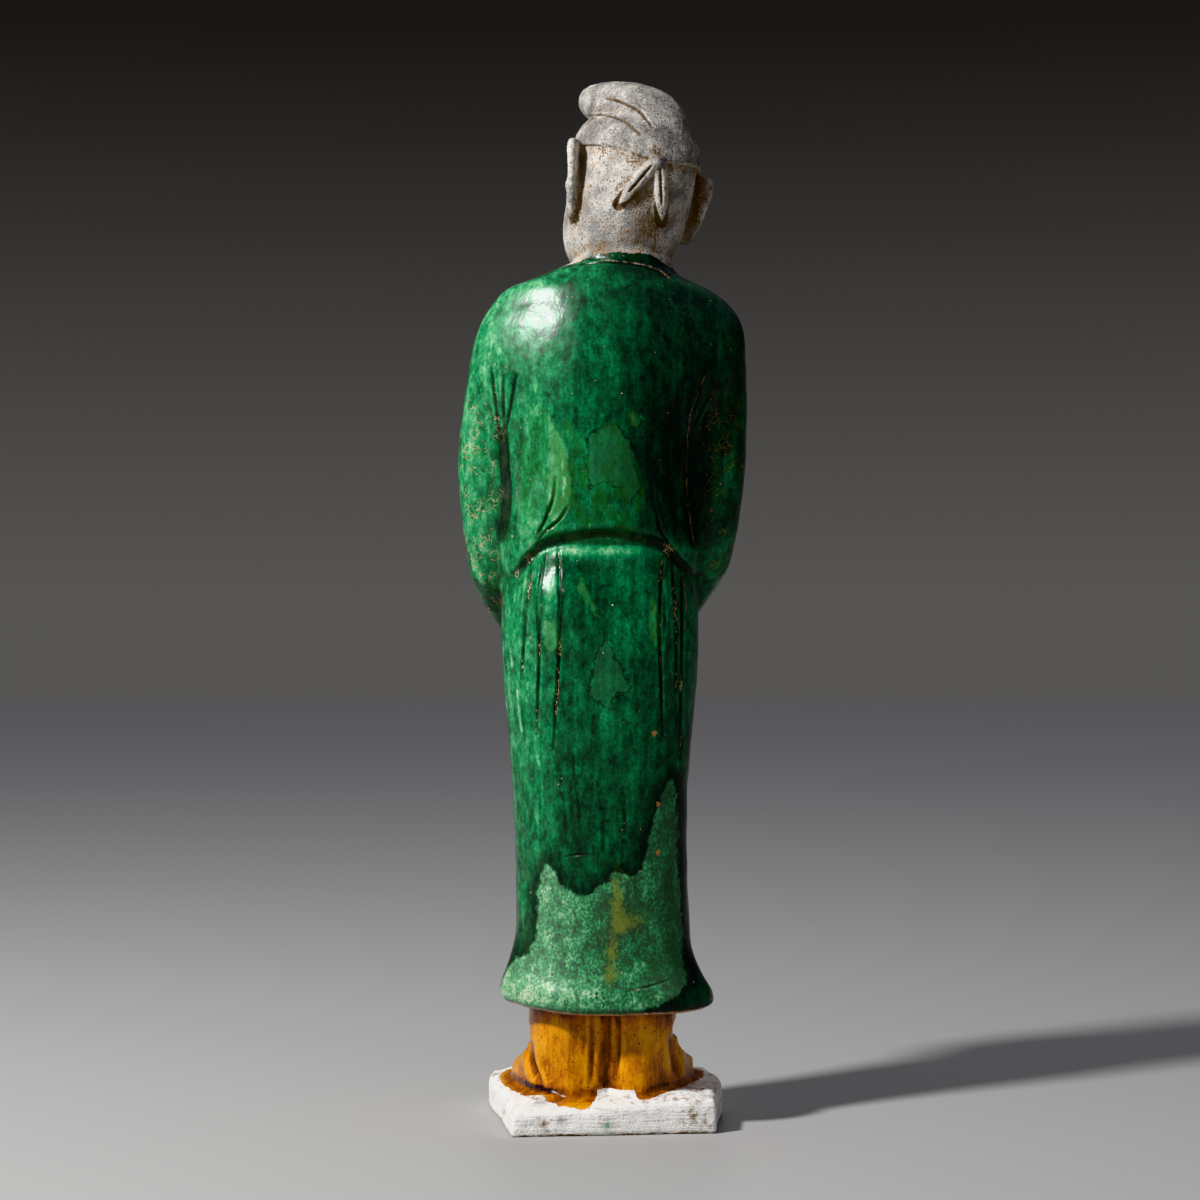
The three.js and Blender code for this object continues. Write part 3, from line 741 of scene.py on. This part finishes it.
THIN_WINDOWS = [
    [(-7, 469), (0, 464), (8.5, 460), (10.5, 453), (10, 439), (10, 421), (3, 427), (-10, 424), (-17, 413),
     (-24.5, 427), (-21.5, 437.5), (-20.5, 449.5), (-14, 459)],
    [(-2, 325), (-6, 318), (-10, 310), (-16, 300), (-17, 291), (-8, 287), (-6, 278), (-1, 281), (7.5, 286),
     (8.5, 297), (6.5, 310), (1.5, 322)],
]
YELLOW_WINDOWS = [
    [(36.5, 478), (31, 462), (24, 449), (21, 429), (21, 419), (27, 403), (36, 408), (35.5, 449)],
    [(-30, 350), (-33, 352), (-37, 340), (-37, 322), (-31, 325)],
    [(-16, 470), (-19, 474), (-24, 470), (-22, 463)],
    [(14.5, 366), (11, 358.5), (6.8, 348), (2.5, 340.5), (5, 340.5), (12, 350), (17, 358.5)],
    [(39, 337), (30, 337), (29, 321), (37, 319)],
]
PALE_DRIPS = [
    [[62, 321], [60, 306]],
    [[57, 291], [55.5, 276], [53.5, 262]],
    [[44, 249], [42.5, 241]],
    [[27, 441], [25, 430], [26, 418]],
    [[8, 401], [9, 397]],
    [[-24, 472], [-27, 466], [-25, 455]],
    [[-9, 408], [-12, 402]],
    [[-41, 365], [-42, 340], [-40, 318]],
]
DARK_DRIPS = [
    [[10.5, 456], [11, 440], [10, 424]],
    [[20.5, 436], [20, 424], [18, 416]],
    [[-27, 464], [-30, 440], [-33, 410]],
    [[30, 246], [27, 220], [24, 196]],
    [[21, 251], [18, 230], [16, 205]],
    [[4, 232], [1, 210], [0, 186]],
    [[-12, 226], [-14, 208], [-13, 190]],
    [[-15, 166], [-18, 140], [-20, 118]],
]
RUBBED_LINES = [
    [[-67.5, 499], [-61.5, 484], [-57, 468], [-55.5, 436], [-57, 409], [-63, 377]],
    [[-2, 579.5], [-11, 578.5], [-20, 577]],
    [[1, 575.5], [-17.5, 574], [-36, 570], [-45, 563]],
    [[-52, 369], [-55, 350], [-54, 330]],
]
OCHRE_STAINS = [
    ((-17.7, 138), (9, 6)), ((-9, 158), (4, 13)), ((-10, 140), (4, 9)), ((-6, 120), (4, 9)),
    ((-5, 104), (5, 6)),
]
CREAM_PATCHES = [
    ((38, 99), (5, 4)), ((2, 103), (6, 3.5)), ((-19, 105), (4, 6)), ((-34, 89), (5, 5)),
    ((10, 92), (12, 3)), ((64, 545), (5, 2)), ((42, 559), (8, 2)), ((-38, 560), (7, 4)),
    ((78, 472), (6, 1.3)),
]
SPUR_SCARS = [(-34, 262.5), (-36, 215.5), (-36.2, 183.5)]
SPUR_REACH = 2.2
SPLASH = ((-2.6, 6), (2.8, 4))
HEAD_STAINS = [((8, 674), (6, 5)), ((-31, 599), (10, 10)), ((-22, 618), (6, 7)), ((-34.8, 644), (5, 5))]
# Middle, reach and strength. The pools at the feet are seen from above.
SLAB_STAINS = [((-62, 12), (14, 9), 0.4), ((40, 9), (9, 4), 0.55)]
POOLS = [((50, 20), (16, 30), 1), ((-38, 25), (18, 30), 1)]
GLAZE_DEPTH_LIGHT_AND_SHADE = [
    ((65, 425), (4, 26), 0.38),  # painted shade in the valley beside the left sleeve
    ((2, 384), (40, 4), -0.38),  # painted light on the skirt just below the blouse's overhang
    ((10, 240), (26, 80), 0.07),
    ((-8, 140), (16, 28), 0.22),
    ((-6, 122), (2.5, 8), 0.22),
    ((0, 92), (34, 14), 0.05),
    ((50, 92), (24, 14), -0.2),
]
HEM_LIFT = 4.5  # mm, how much higher the hem hangs on the figure's left


def hem_height(x):
    """Height of the hem at each place across."""
    return HEM + HEM_LIFT * ramp(x, 15, 70)


points, facing = places(), facings()
flat = points[:, [0, 2]]
x, y, z = points.T
local = in_head(points)
on_head = above_collar(points) > 1
on_slab = z < SLAB_TOP + 3
behind = ramp(facing[:, 1], 0.0, 0.25) * (y > 0)
back = np.flatnonzero((behind > 0) & (z > 60) & (z < 590))
hollow = hollowness(points, facing, 24)
keep("hollow", np.clip(hollow / 1.2, -1, 1))

# The edges of the robe's glaze, and the ends of its run and of its first coat.
neck_edge = -above_collar(points) - 0.5 - 5 * ramp(x, 2, 24) - 6 * ramp(-x, 30, 46)
hem_edge = z - hem_height(x) + 0.5
under_hem = 9 * (facing[:, 2] + 0.72) + 100 * (z > 100)
keep("green_inside", np.minimum.reduce([neck_edge, hem_edge, under_hem]))
around = np.arctan2(x, -y)
front_ends = 118 + 26 * np.sin(4 * around + math.radians(20)) + 12 * np.sin(9 * around)
front_ends -= 22 * ramp(y, -20, 10)
run = np.where(behind > 0, 30, z - front_ends)
run[back] = -inside(flat[back], PALE_ZONE)
keep("run_inside", run)
coat_ends = np.array(COAT_ENDS, float)
ends_here = (behind > 0) & (z > BELT)
keep("coat_inside", np.where(ends_here, z - np.interp(x, coat_ends[:, 0], coat_ends[:, 1]), 20))
for name, outlines in (("window_inside", THIN_WINDOWS), ("yellow_inside", YELLOW_WINDOWS)):
    window = np.full(len(points), -30.0)
    for outline in outlines:
        window[back] = np.maximum(window[back], inside(flat[back], outline))
    keep(name, window)

keep("pale_drip", nearest_line(PALE_DRIPS))
keep("dark_drip", nearest_line(DARK_DRIPS))
keep("rubbed", nearest_line(RUBBED_LINES))
scar = np.min([np.linalg.norm(flat - at, axis=1) for at in SPUR_SCARS], axis=0)
keep("scar", np.where(behind > 0, scar, 30) - SPUR_REACH)
keep("ochre", spots(OCHRE_STAINS))
keep("cream", spots(CREAM_PATCHES))
# More whitish veil on the figure's left: thinner glaze, and a painted sheen on the side towards the lamp.
keep("thin_glaze_and_sheen", 0.5 + 0.5 * ramp(x, 0, 60) + 0.2 * ramp(-x, 20, 44))
crazed = ramp(np.abs(x), 62, 72) * ramp(z, 320, 345) * (1 - ramp(z, 470, 500))
keep("crazed", crazed * np.where(x > 0, 1, 0.4))
# The glaze darkens in the cuts, where it pools; along the belt this is also painted shade under the blouse.
cut = np.clip(folds(points, facing)[0] / FOLD_CUT[1], 0, 1)
keep("cut", cut * ~on_head)
in_sleeve_edge = engraved(points, facing, SLEEVE_EDGES, 1, 5, 1)[0] > 0
keep("scratch", cut * (z < BELT) * ~in_sleeve_edge)

# The glaze is darker on the figure's right and lighter on its left, above and below the belt, and lighter on
# top.
# Partly real thickness, partly painted shade on the right, away from the lamp, and painted light on the
# left.
above_belt = ramp(z, 385, 400)
depth = bumps(x, z, GLAZE_DEPTH_LIGHT_AND_SHADE) + 0.08 * ramp(-x, 0, 40) - 0.1 * ramp(x, 10, 60)
depth += above_belt * (0.22 * ramp(-x, -12, 44) - 0.07 * ramp(x, 58, 72))
depth -= above_belt * 0.14 * ramp(-x, 58, 72) * (1 - ramp(z, 480, 510))
depth -= (1 - above_belt) * 0.06 * ramp(z, 180, 300)
# Painted shade: the pale zone darker towards the figure's right.
depth += 0.13 * ramp(-x, 18, 44) * (1 - ramp(z, 200, 230))
depth -= 0.07 * ramp(x, 18, 46) * ramp(z, 120, 200)
on_top = ramp(facing[:, 2], 0.35, 0.9)
bead = ridge(hem_edge, 2, 2)
keep("depth", depth * behind - 0.08 * on_top + 0.3 * bead)

# The honey glaze, the green splash and the places where the clay shows buff.
reach = boot_reach(points)
keep("boot_inside", reach)
at_foot = ridge(z, SLAB_TOP + 2.2, 1.6) * ramp(reach, 2, 6)
keep("pool", at_foot * (0.35 + 0.65 * np.clip(bumps(x, y, POOLS), 0, 1)))
keep("splash", spot(x, z, *SPLASH) * (facing[:, 1] > 0.5))
rims = np.clip(ridge(z, HEM - 1, 4) + 0.35 * ridge(neck_edge, -2, 3), 0, 1)
keep("buff", rims + 0.6 * (neck_edge > 0) * (z > HEM + 20) + 1.4 * (scar < 2 * SPUR_REACH))
keep("dragged", on_slab)

# Paint on the face, the grey wash on the cap, and earth.
face_x, face_z = np.abs(local[:, 0]), local[:, 2]
on_face = on_head * ramp(-local[:, 1], 20, 30)
u, lid = along_eye(face_x)
v, brow = along_brow(face_x, PAINTED_BROW_WIDTH)
black = 0.9 * ridge(face_z, brow + 0.2, 1.1) * (np.abs(v) < 1)
black += ridge(face_z, lid, 0.6) * (np.abs(u) < 1.05)
black += 1.2 * (np.hypot(face_x - EYE[0] + 0.6, face_z - EYE[1] + 0.1) < 2.3)
band = band_gap(local)
cap_wash = 0.42 * on_head * ramp(band, 0, 1.5)
keep("black_paint", np.clip(np.maximum(black * on_face, cap_wash), 0, 1.2))
red = np.clip(1.25 - np.hypot(face_x / 10.5, (face_z - MOUTH) / 4.2), 0, 0.5) * 2
keep("red_paint", red * on_face)

head_earth = 0.16 + 0.12 * (band < 0) + 0.7 * spots(HEAD_STAINS) + 0.35 * hollow
head_earth += 0.5 * ramp(-local[:, 0], 38, 44) + 0.1 * ramp(-local[:, 0], 10, 38) * (y > 0)
head_earth -= 0.25 * ramp(-local[:, 1], 12, 30)
head_earth += 0.6 * np.clip(head_lines(points, facing)[0], 0, 1)
head_earth += 0.7 * (local[:, 0] > 38) * (1 - ramp(local[:, 2], -31, -24)) * ramp(local[:, 1], -2, 4)
slab_earth = 0.7 * (1 - ramp(z, 0, 3)) + bumps(x, z, SLAB_STAINS) + 0.35 * ridge(z, SLAB_TOP - 2, 2)
keep("earth", np.clip(np.where(on_head, head_earth, slab_earth * on_slab), 0, 1.3))


def mottle(tree, across, along, detail=3.0, seed=0.0):
    """Cloudy noise from 0 to 1, its lumps so many millimetres across and along the height."""
    place = add_node(tree, "ShaderNodeTexCoord").outputs["Object"]
    sizes = (1 / (across * MM), 1 / (across * MM), 1 / (along * MM))
    spread = {"Vector": place, "Location": (seed, seed, seed), "Scale": sizes}
    place = add_node(tree, "ShaderNodeMapping", spread).outputs["Vector"]
    noise = {"Vector": place, "Scale": 1.0, "Detail": detail, "Roughness": 0.6}
    return add_node(tree, "ShaderNodeTexNoise", noise).outputs[0]


def kept(tree, name):
    """A value kept on the mesh."""
    return add_node(tree, "ShaderNodeAttribute", attribute_name=name).outputs["Fac"]


def math_node(tree, operation, *values, **settings):
    """Values put through one step of arithmetic."""
    links = dict(enumerate(values))
    return add_node(tree, "ShaderNodeMath", links, operation=operation, **settings).outputs[0]


def summed(tree, start, terms):
    """A start plus each value times its weight."""
    total = start
    for value, weight in terms:
        total = math_node(tree, "MULTIPLY_ADD", value, weight, total)
    return total


def between(tree, value, low, high):
    """0 where a value is at low, 1 where it is at high, eased between them."""
    links = {"Value": value, "From Min": low, "From Max": high}
    return add_node(tree, "ShaderNodeMapRange", links, interpolation_type="SMOOTHSTEP").outputs[0]


def both(tree, one, other):
    """The product of two shares."""
    return math_node(tree, "MULTIPLY", one, other)


def region(tree, name, wander, blur, grain=3.0, inset=0.0):
    """1 inside a kept edge and 0 outside it. The edge wanders, is blurred and set in, in millimetres."""
    moved = summed(tree, kept(tree, name), [(mottle(tree, grain, grain, 4, 7.0), 4 * wander)])
    return between(tree, moved, 2 * wander - blur + inset, 2 * wander + blur + inset)


def near_lines(tree, name, half_width):
    """1 on kept lines and 0 off them, their width wandering."""
    gap = summed(tree, kept(tree, name), [(mottle(tree, 2.5, 6, 3, 5.0), 3.0)])
    return between(tree, gap, half_width + 2.2, half_width + 0.6)


def blended(tree, share, under, over):
    """One colour over another by a share."""
    return add_node(tree, "ShaderNodeMix", {0: share, 6: under, 7: over}, data_type="RGBA").outputs[2]


def flecks(tree, spacing, share, size):
    """Scattered flecks of a size in millimetres, in a share of cells of a spacing."""
    place = add_node(tree, "ShaderNodeTexCoord").outputs["Object"]
    cells = add_node(tree, "ShaderNodeTexVoronoi", {"Vector": place, "Scale": 1 / (spacing * MM)})
    chance = add_node(tree, "ShaderNodeSeparateColor", {"Color": cells.outputs["Color"]}).outputs["Red"]
    held = {"Value": chance, "From Min": 1 - share, "From Max": 1 - 0.4 * share}
    reach = add_node(tree, "ShaderNodeMapRange", held | {"To Max": 0.5 * size / spacing}).outputs[0]
    wander = mottle(tree, 0.6 * size, 0.6 * size, 2)
    gap = summed(tree, cells.outputs["Distance"], [(wander, 0.4 * size / spacing)])
    gap = math_node(tree, "SUBTRACT", gap, 0.2 * size / spacing)
    return math_node(tree, "GREATER_THAN", reach, gap)


def cracks(tree, spacing, width):
    """Fine broken cracks around cells of a spacing."""
    place = add_node(tree, "ShaderNodeTexCoord").outputs["Object"]
    wide = {"Vector": place, "Scale": 1 / (spacing * MM)}
    stray = add_node(tree, "ShaderNodeTexNoise", wide).outputs["Color"]
    links = {0: stray, 1: (spacing * MM,) * 3, 2: place}
    place = add_node(tree, "ShaderNodeVectorMath", links, operation="MULTIPLY_ADD").outputs[0]
    links = {"Vector": place, "Scale": 1 / (spacing * MM)}
    gap = add_node(tree, "ShaderNodeTexVoronoi", links, feature="DISTANCE_TO_EDGE").outputs["Distance"]
    line = between(tree, gap, width / spacing, 0.4 * width / spacing)
    return both(tree, line, between(tree, mottle(tree, 9, 14, 3, 6.0), 0.5, 0.6))


# Buff earthenware under a thin white slip: dry and matt, rubbed to the buff clay on edges, pitted, with
# ochre and brown earth from the ground powdered over it and thick in its hollows.
CLAY_ROUGHNESS = 0.9
CLAY_IOR = 1.5
HEAD_SLIP = [(0.32, "#8F8C88"), (0.54, "#E2DDD5")]
SLAB_SLIP = [(0.4, "#A39D94"), (0.63, "#FCFAF5")]
BUFF = "#BC8C68"
OCHRE_EARTH = "#9E866A"
BROWN_EARTH = "#685645"
FACE_PAINTS = [("black_paint", "#24211F", 3), ("red_paint", "#8A3B2C", 3)]


def bare_clay(tree, slip_greys):
    """Colour and height of the slipped clay."""
    cloud = mottle(tree, 16, 16, 5, 3.0)
    grain = between(tree, mottle(tree, 1.3, 1.3, 5, 1.0), 0.3, 0.7)
    blotch = mottle(tree, 6, 7, 6, 5.0)
    dragged = kept(tree, "dragged")
    drag = both(tree, mottle(tree, 26, 1.6, 5, 4.0), dragged)
    rough = both(tree, grain, summed(tree, 1.0, [(dragged, -0.75)]))
    tone = summed(tree, -0.26, [(cloud, 0.8), (blotch, 0.4), (rough, 0.2), (drag, 0.6)])
    colour = add_node(tree, "ShaderNodeValToRGB", {"Fac": tone}, stops=slip_greys).outputs[0]
    rub = summed(tree, -0.72, [(blotch, 0.9), (rough, 0.3), (kept(tree, "buff"), 0.35)])
    colour = blended(tree, between(tree, rub, 0.0, 0.22), colour, linear(BUFF))
    crust = summed(tree, -0.9, [(blotch, 1.0), (rough, 0.5), (drag, 0.3), (kept(tree, "earth"), 0.5)])
    colour = blended(tree, between(tree, crust, -0.06, 0.2), colour, linear(OCHRE_EARTH))
    colour = blended(tree, between(tree, crust, 0.12, 0.42), colour, linear(BROWN_EARTH))
    pits = both(tree, flecks(tree, 2.4, 0.45, 1.5), summed(tree, 0.7, [(dragged, -0.5)]))
    colour = blended(tree, pits, colour, linear(BROWN_EARTH))
    height = summed(tree, 0.0, [(grain, 0.8), (blotch, 2.2), (drag, 4.0), (crust, 0.7), (pits, -0.8)])
    return colour, height


# Emerald lead glaze: a copper-green glass over white slip. It is pale and speckled where it is thin, near
# black where it pools at the ends of runs and in the cuts, finely crazed, and chipped to the clay.
# Its colour also holds painted shade on the right and a painted sheen and painted light on the left.
GREEN_START = -0.18
GREEN_BY_THICKNESS = [
    (0.0, "#D8D9BC"), (0.12, "#AACBA0"), (0.25, "#68B07C"), (0.37, "#2F9860"), (0.5, "#0B7443"),
    (0.63, "#05522C"), (0.78, "#03341A"), (1.0, "#02150B"),
]
OCHRE_GLAZE = "#7C7E10"
OLIVE_GLAZE = "#3A7828"
YELLOW_GLAZE = "#78A866"
GREY_GLAZE = "#3A6446"
# The whitish colour of thin glaze, also used for the painted sheen on the figure's left.
THIN_GLAZE_AND_SHEEN = "#90B290"
CRAZE = "#C4AC80"
CREAM_SLIP = "#C9C09A"


def emerald_glaze(tree):
    """Colour, roughness and height of the green glaze."""
    streak = mottle(tree, 5.0, 60, 3, 11.0)
    cloud = mottle(tree, 13, 18, 3, 2.0)
    blotches = between(tree, mottle(tree, 5, 7, 4, 6.0), 0.46, 0.72)
    grain = between(tree, mottle(tree, 1.7, 2.2, 3, 4.0), 0.3, 0.7)
    granules = between(tree, mottle(tree, 1.7, 2.0, 5, 9.0), 0.4, 0.6)
    patches = between(tree, mottle(tree, 8, 13, 4, 3.0), 0.36, 0.64)
    dapple = both(tree, between(tree, mottle(tree, 5, 9, 5, 8.0), 0.36, 0.64), kept(tree, "thin_glaze_and_sheen"))
    dots = flecks(tree, 4.2, 0.3, 2.2)
    run = region(tree, "run_inside", 2.0, 1.3, 5)
    rim = both(tree, between(tree, kept(tree, "run_inside"), 11.0, -1.0), run)
    coat = region(tree, "coat_inside", 2.5, 2.5, 6)
    window = region(tree, "window_inside", 3.0, 0.3, 5)
    window_heart = region(tree, "window_inside", 3.0, 0.3, 5, 1.2)
    window_rim = summed(tree, window, [(window_heart, -1.0)])
    yellow = region(tree, "yellow_inside", 1.6, 1.2, 4)
    pale_drip = near_lines(tree, "pale_drip", 0.9)
    dark_drip = near_lines(tree, "dark_drip", 1.3)
    cut = kept(tree, "cut")
    cream = both(tree, kept(tree, "cream"), between(tree, grain, 0.1, 0.9))
    thickness = summed(tree, GREEN_START, [
        (kept(tree, "depth"), 1.0), (kept(tree, "hollow"), 0.1),
        (cloud, 0.42), (blotches, 0.16), (grain, 0.13), (granules, 0.32), (dots, 0.5),
        (dapple, 0.16), (patches, 0.26), (coat, 0.06), (yellow, -0.12), (window_rim, 0.26),
        (pale_drip, -0.3), (dark_drip, 0.22), (cut, 0.45), (cream, -0.36),
        (run, 0.18), (rim, 0.3), (both(tree, streak, run), 0.5), (both(tree, granules, run), -0.29),
        (both(tree, dots, run), -0.45), (both(tree, patches, run), -0.2),
    ])
    colour = add_node(tree, "ShaderNodeValToRGB", {"Fac": thickness}, stops=GREEN_BY_THICKNESS).outputs[0]
    stain = summed(tree, kept(tree, "ochre"), [(blotches, -0.4), (granules, -0.35)])
    colour = blended(tree, both(tree, between(tree, stain, -0.1, 0.9), 0.8), colour, linear(OCHRE_GLAZE))
    olive = both(tree, patches, summed(tree, 0.3, [(coat, -0.3)]))
    colour = blended(tree, olive, colour, linear(OLIVE_GLAZE))
    stained = both(tree, yellow, between(tree, grain, -0.6, 3.0))
    colour = blended(tree, stained, colour, linear(YELLOW_GLAZE))
    # A whitish veil of thin glaze; on the figure's left it is also a painted sheen.
    thin_glaze_and_sheen = both(tree, kept(tree, "thin_glaze_and_sheen"), summed(tree, 0.36, [(run, -0.06)]))
    thin_veil_and_sheen = summed(tree, thin_glaze_and_sheen, [(run, -0.2), (both(tree, patches, run), -0.08)])
    colour = blended(tree, thin_veil_and_sheen, colour, linear(THIN_GLAZE_AND_SHEEN))
    greyed = summed(tree, 0.72, [(grain, -0.4), (patches, -0.2)])
    colour = blended(tree, both(tree, window_heart, greyed), colour, linear(GREY_GLAZE))
    crazed = both(tree, cracks(tree, 4.0, 0.17), kept(tree, "crazed"))
    colour = blended(tree, crazed, colour, linear(CRAZE))
    broken = between(tree, mottle(tree, 0.8, 2.0, 3, 8.0), 0.5, 0.6)
    broken = both(tree, broken, between(tree, cloud, 0.53, 0.59))
    scratched = both(tree, broken, between(tree, kept(tree, "scratch"), 0.1, 0.4))
    colour = blended(tree, scratched, colour, linear(CREAM_SLIP))
    height = summed(tree, 0.0, [(thickness, 0.35), (grain, 0.05), (mottle(tree, 8, 9, 2, 12.0), 1.3)])
    worn = between(tree, kept(tree, "buff"), 0.65, 1.2)
    dulled = [(cloud, 0.12), (grain, 0.06), (cream, 0.3), (window, 0.1), (crazed, 0.3), (worn, 0.3)]
    roughness = summed(tree, 0.18, dulled)
    return colour, roughness, height


def green_edge(tree):
    """Where the robe still has its glaze: not below the hem, on rubbed lines and spur scars, or in chips."""
    whole = both(tree, region(tree, "green_inside", 1.2, 0.3), region(tree, "scar", 0.6, 0.3, 2))
    chips = math_node(tree, "MAXIMUM", flecks(tree, 6.0, 0.2, 1.3), flecks(tree, 3.4, 0.1, 0.8))
    patchy = between(tree, mottle(tree, 3, 7, 3, 2.0), 0.36, 0.46)
    lost = math_node(tree, "MAXIMUM", chips, both(tree, near_lines(tree, "rubbed", 0.2), patchy))
    return math_node(tree, "SUBTRACT", whole, lost, use_clamp=True)


# Honey lead glaze: an iron-amber glass, brushed down the boots so that it streaks, specked with iron, and
# blue-black where it pooled on the slab.
HONEY_START = -0.66
HONEY_BY_THICKNESS = [
    (0.0, "#E8A21C"), (0.22, "#D68A00"), (0.45, "#A85A00"), (0.7, "#683202"), (0.88, "#30170A"),
    (1.0, "#1A1420"),
]
IRON_SPECK = "#3A1D08"
SPLASH_GREEN = "#5C9A70"


def honey_glaze(tree):
    """Colour, roughness and height of the amber glaze."""
    streak = mottle(tree, 2.2, 34, 4, 13.0)
    cloud = mottle(tree, 8, 13, 4, 9.0)
    grain = mottle(tree, 1.6, 2.2, 4, 4.0)
    thickness = summed(tree, HONEY_START, [
        (streak, 0.5), (cloud, 1.0), (grain, 0.55),
        (kept(tree, "hollow"), 0.3), (kept(tree, "pool"), 0.8), (kept(tree, "dragged"), -0.15),
    ])
    colour = add_node(tree, "ShaderNodeValToRGB", {"Fac": thickness}, stops=HONEY_BY_THICKNESS).outputs[0]
    colour = blended(tree, both(tree, flecks(tree, 3.4, 0.5, 1.4), 0.85), colour, linear(IRON_SPECK))
    height = summed(tree, 0.0, [(thickness, 0.9), (grain, 0.4)])
    roughness = summed(tree, 0.1, [(cloud, 0.16), (grain, 0.1)])
    return colour, roughness, height


def honey_edge(tree):
    """Where the boots and the slab around them have run amber."""
    return region(tree, "boot_inside", 1.6, 0.25, 5)


# How both glazes stand on the clay and take the light. The soft coat is the halo around their highlights.
GLAZE_IOR = 1.6
GLAZE_SHINE = 0.22
HALO_SHARE = 0.5
HALO_ROUGHNESS = 0.45
GLAZE_RISE = 0.5
BUMP_HEIGHT = 0.35  # mm
BUMP_SHARE = 0.7


def fired_surface(name, slip_greys, paints=(), glaze=None, edge=None):
    """A finished material: bare clay with its paints, and a glaze over it inside its edge."""
    material, tree = new_material(name)
    colour, height = bare_clay(tree, slip_greys)
    for pigment, hue, patch in paints:
        worn = between(tree, mottle(tree, patch, patch, 6, 8.0), 0.25, 0.6)
        colour = blended(tree, both(tree, kept(tree, pigment), worn), colour, linear(hue))
    links = {"Base Color": colour, "Roughness": CLAY_ROUGHNESS, "IOR": CLAY_IOR}
    if glaze:
        glaze_colour, gloss, glaze_height = glaze(tree)
        glazed = edge(tree)
        links["Base Color"] = blended(tree, glazed, colour, glaze_colour)
        drop = math_node(tree, "SUBTRACT", gloss, CLAY_ROUGHNESS)
        links["Roughness"] = summed(tree, CLAY_ROUGHNESS, [(glazed, drop)])
        links["IOR"] = GLAZE_IOR
        links["Specular IOR Level"] = GLAZE_SHINE
        links["Coat Weight"] = both(tree, glazed, HALO_SHARE)
        links["Coat Roughness"] = HALO_ROUGHNESS
        gain = math_node(tree, "SUBTRACT", glaze_height, height)
        height = summed(tree, height, [(glazed, gain), (glazed, GLAZE_RISE)])
    relief = {"Height": height, "Distance": BUMP_HEIGHT * MM, "Strength": BUMP_SHARE}
    links["Normal"] = add_node(tree, "ShaderNodeBump", relief).outputs["Normal"]
    surface = add_node(tree, "ShaderNodeBsdfPrincipled", links)
    add_node(tree, "ShaderNodeOutputMaterial", {"Surface": surface.outputs["BSDF"]})
    figure.data.materials.append(material)


figure.data.materials.clear()
fired_surface("slipped_earthenware", HEAD_SLIP, FACE_PAINTS)
fired_surface("emerald_lead_glaze", HEAD_SLIP, (), emerald_glaze, green_edge)
fired_surface("honey_lead_glaze", SLAB_SLIP, [("splash", SPLASH_GREEN, 2)], honey_glaze, honey_edge)
centres = np.empty(3 * len(figure.data.polygons), np.float32)
figure.data.polygons.foreach_get("center", centres)
centres = centres.reshape(-1, 3) / MM - (0, BODY_SETBACK, 0)
below_hem = centres[:, 2] < hem_height(centres[:, 0]) - 2.2
finish = np.where(above_collar(centres) > 3, 0, np.where(below_hem, 2, 1))
figure.data.polygons.foreach_set("material_index", finish.astype(np.int32))
figure.data.update()

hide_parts("officer_figure")
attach(figure, "root")
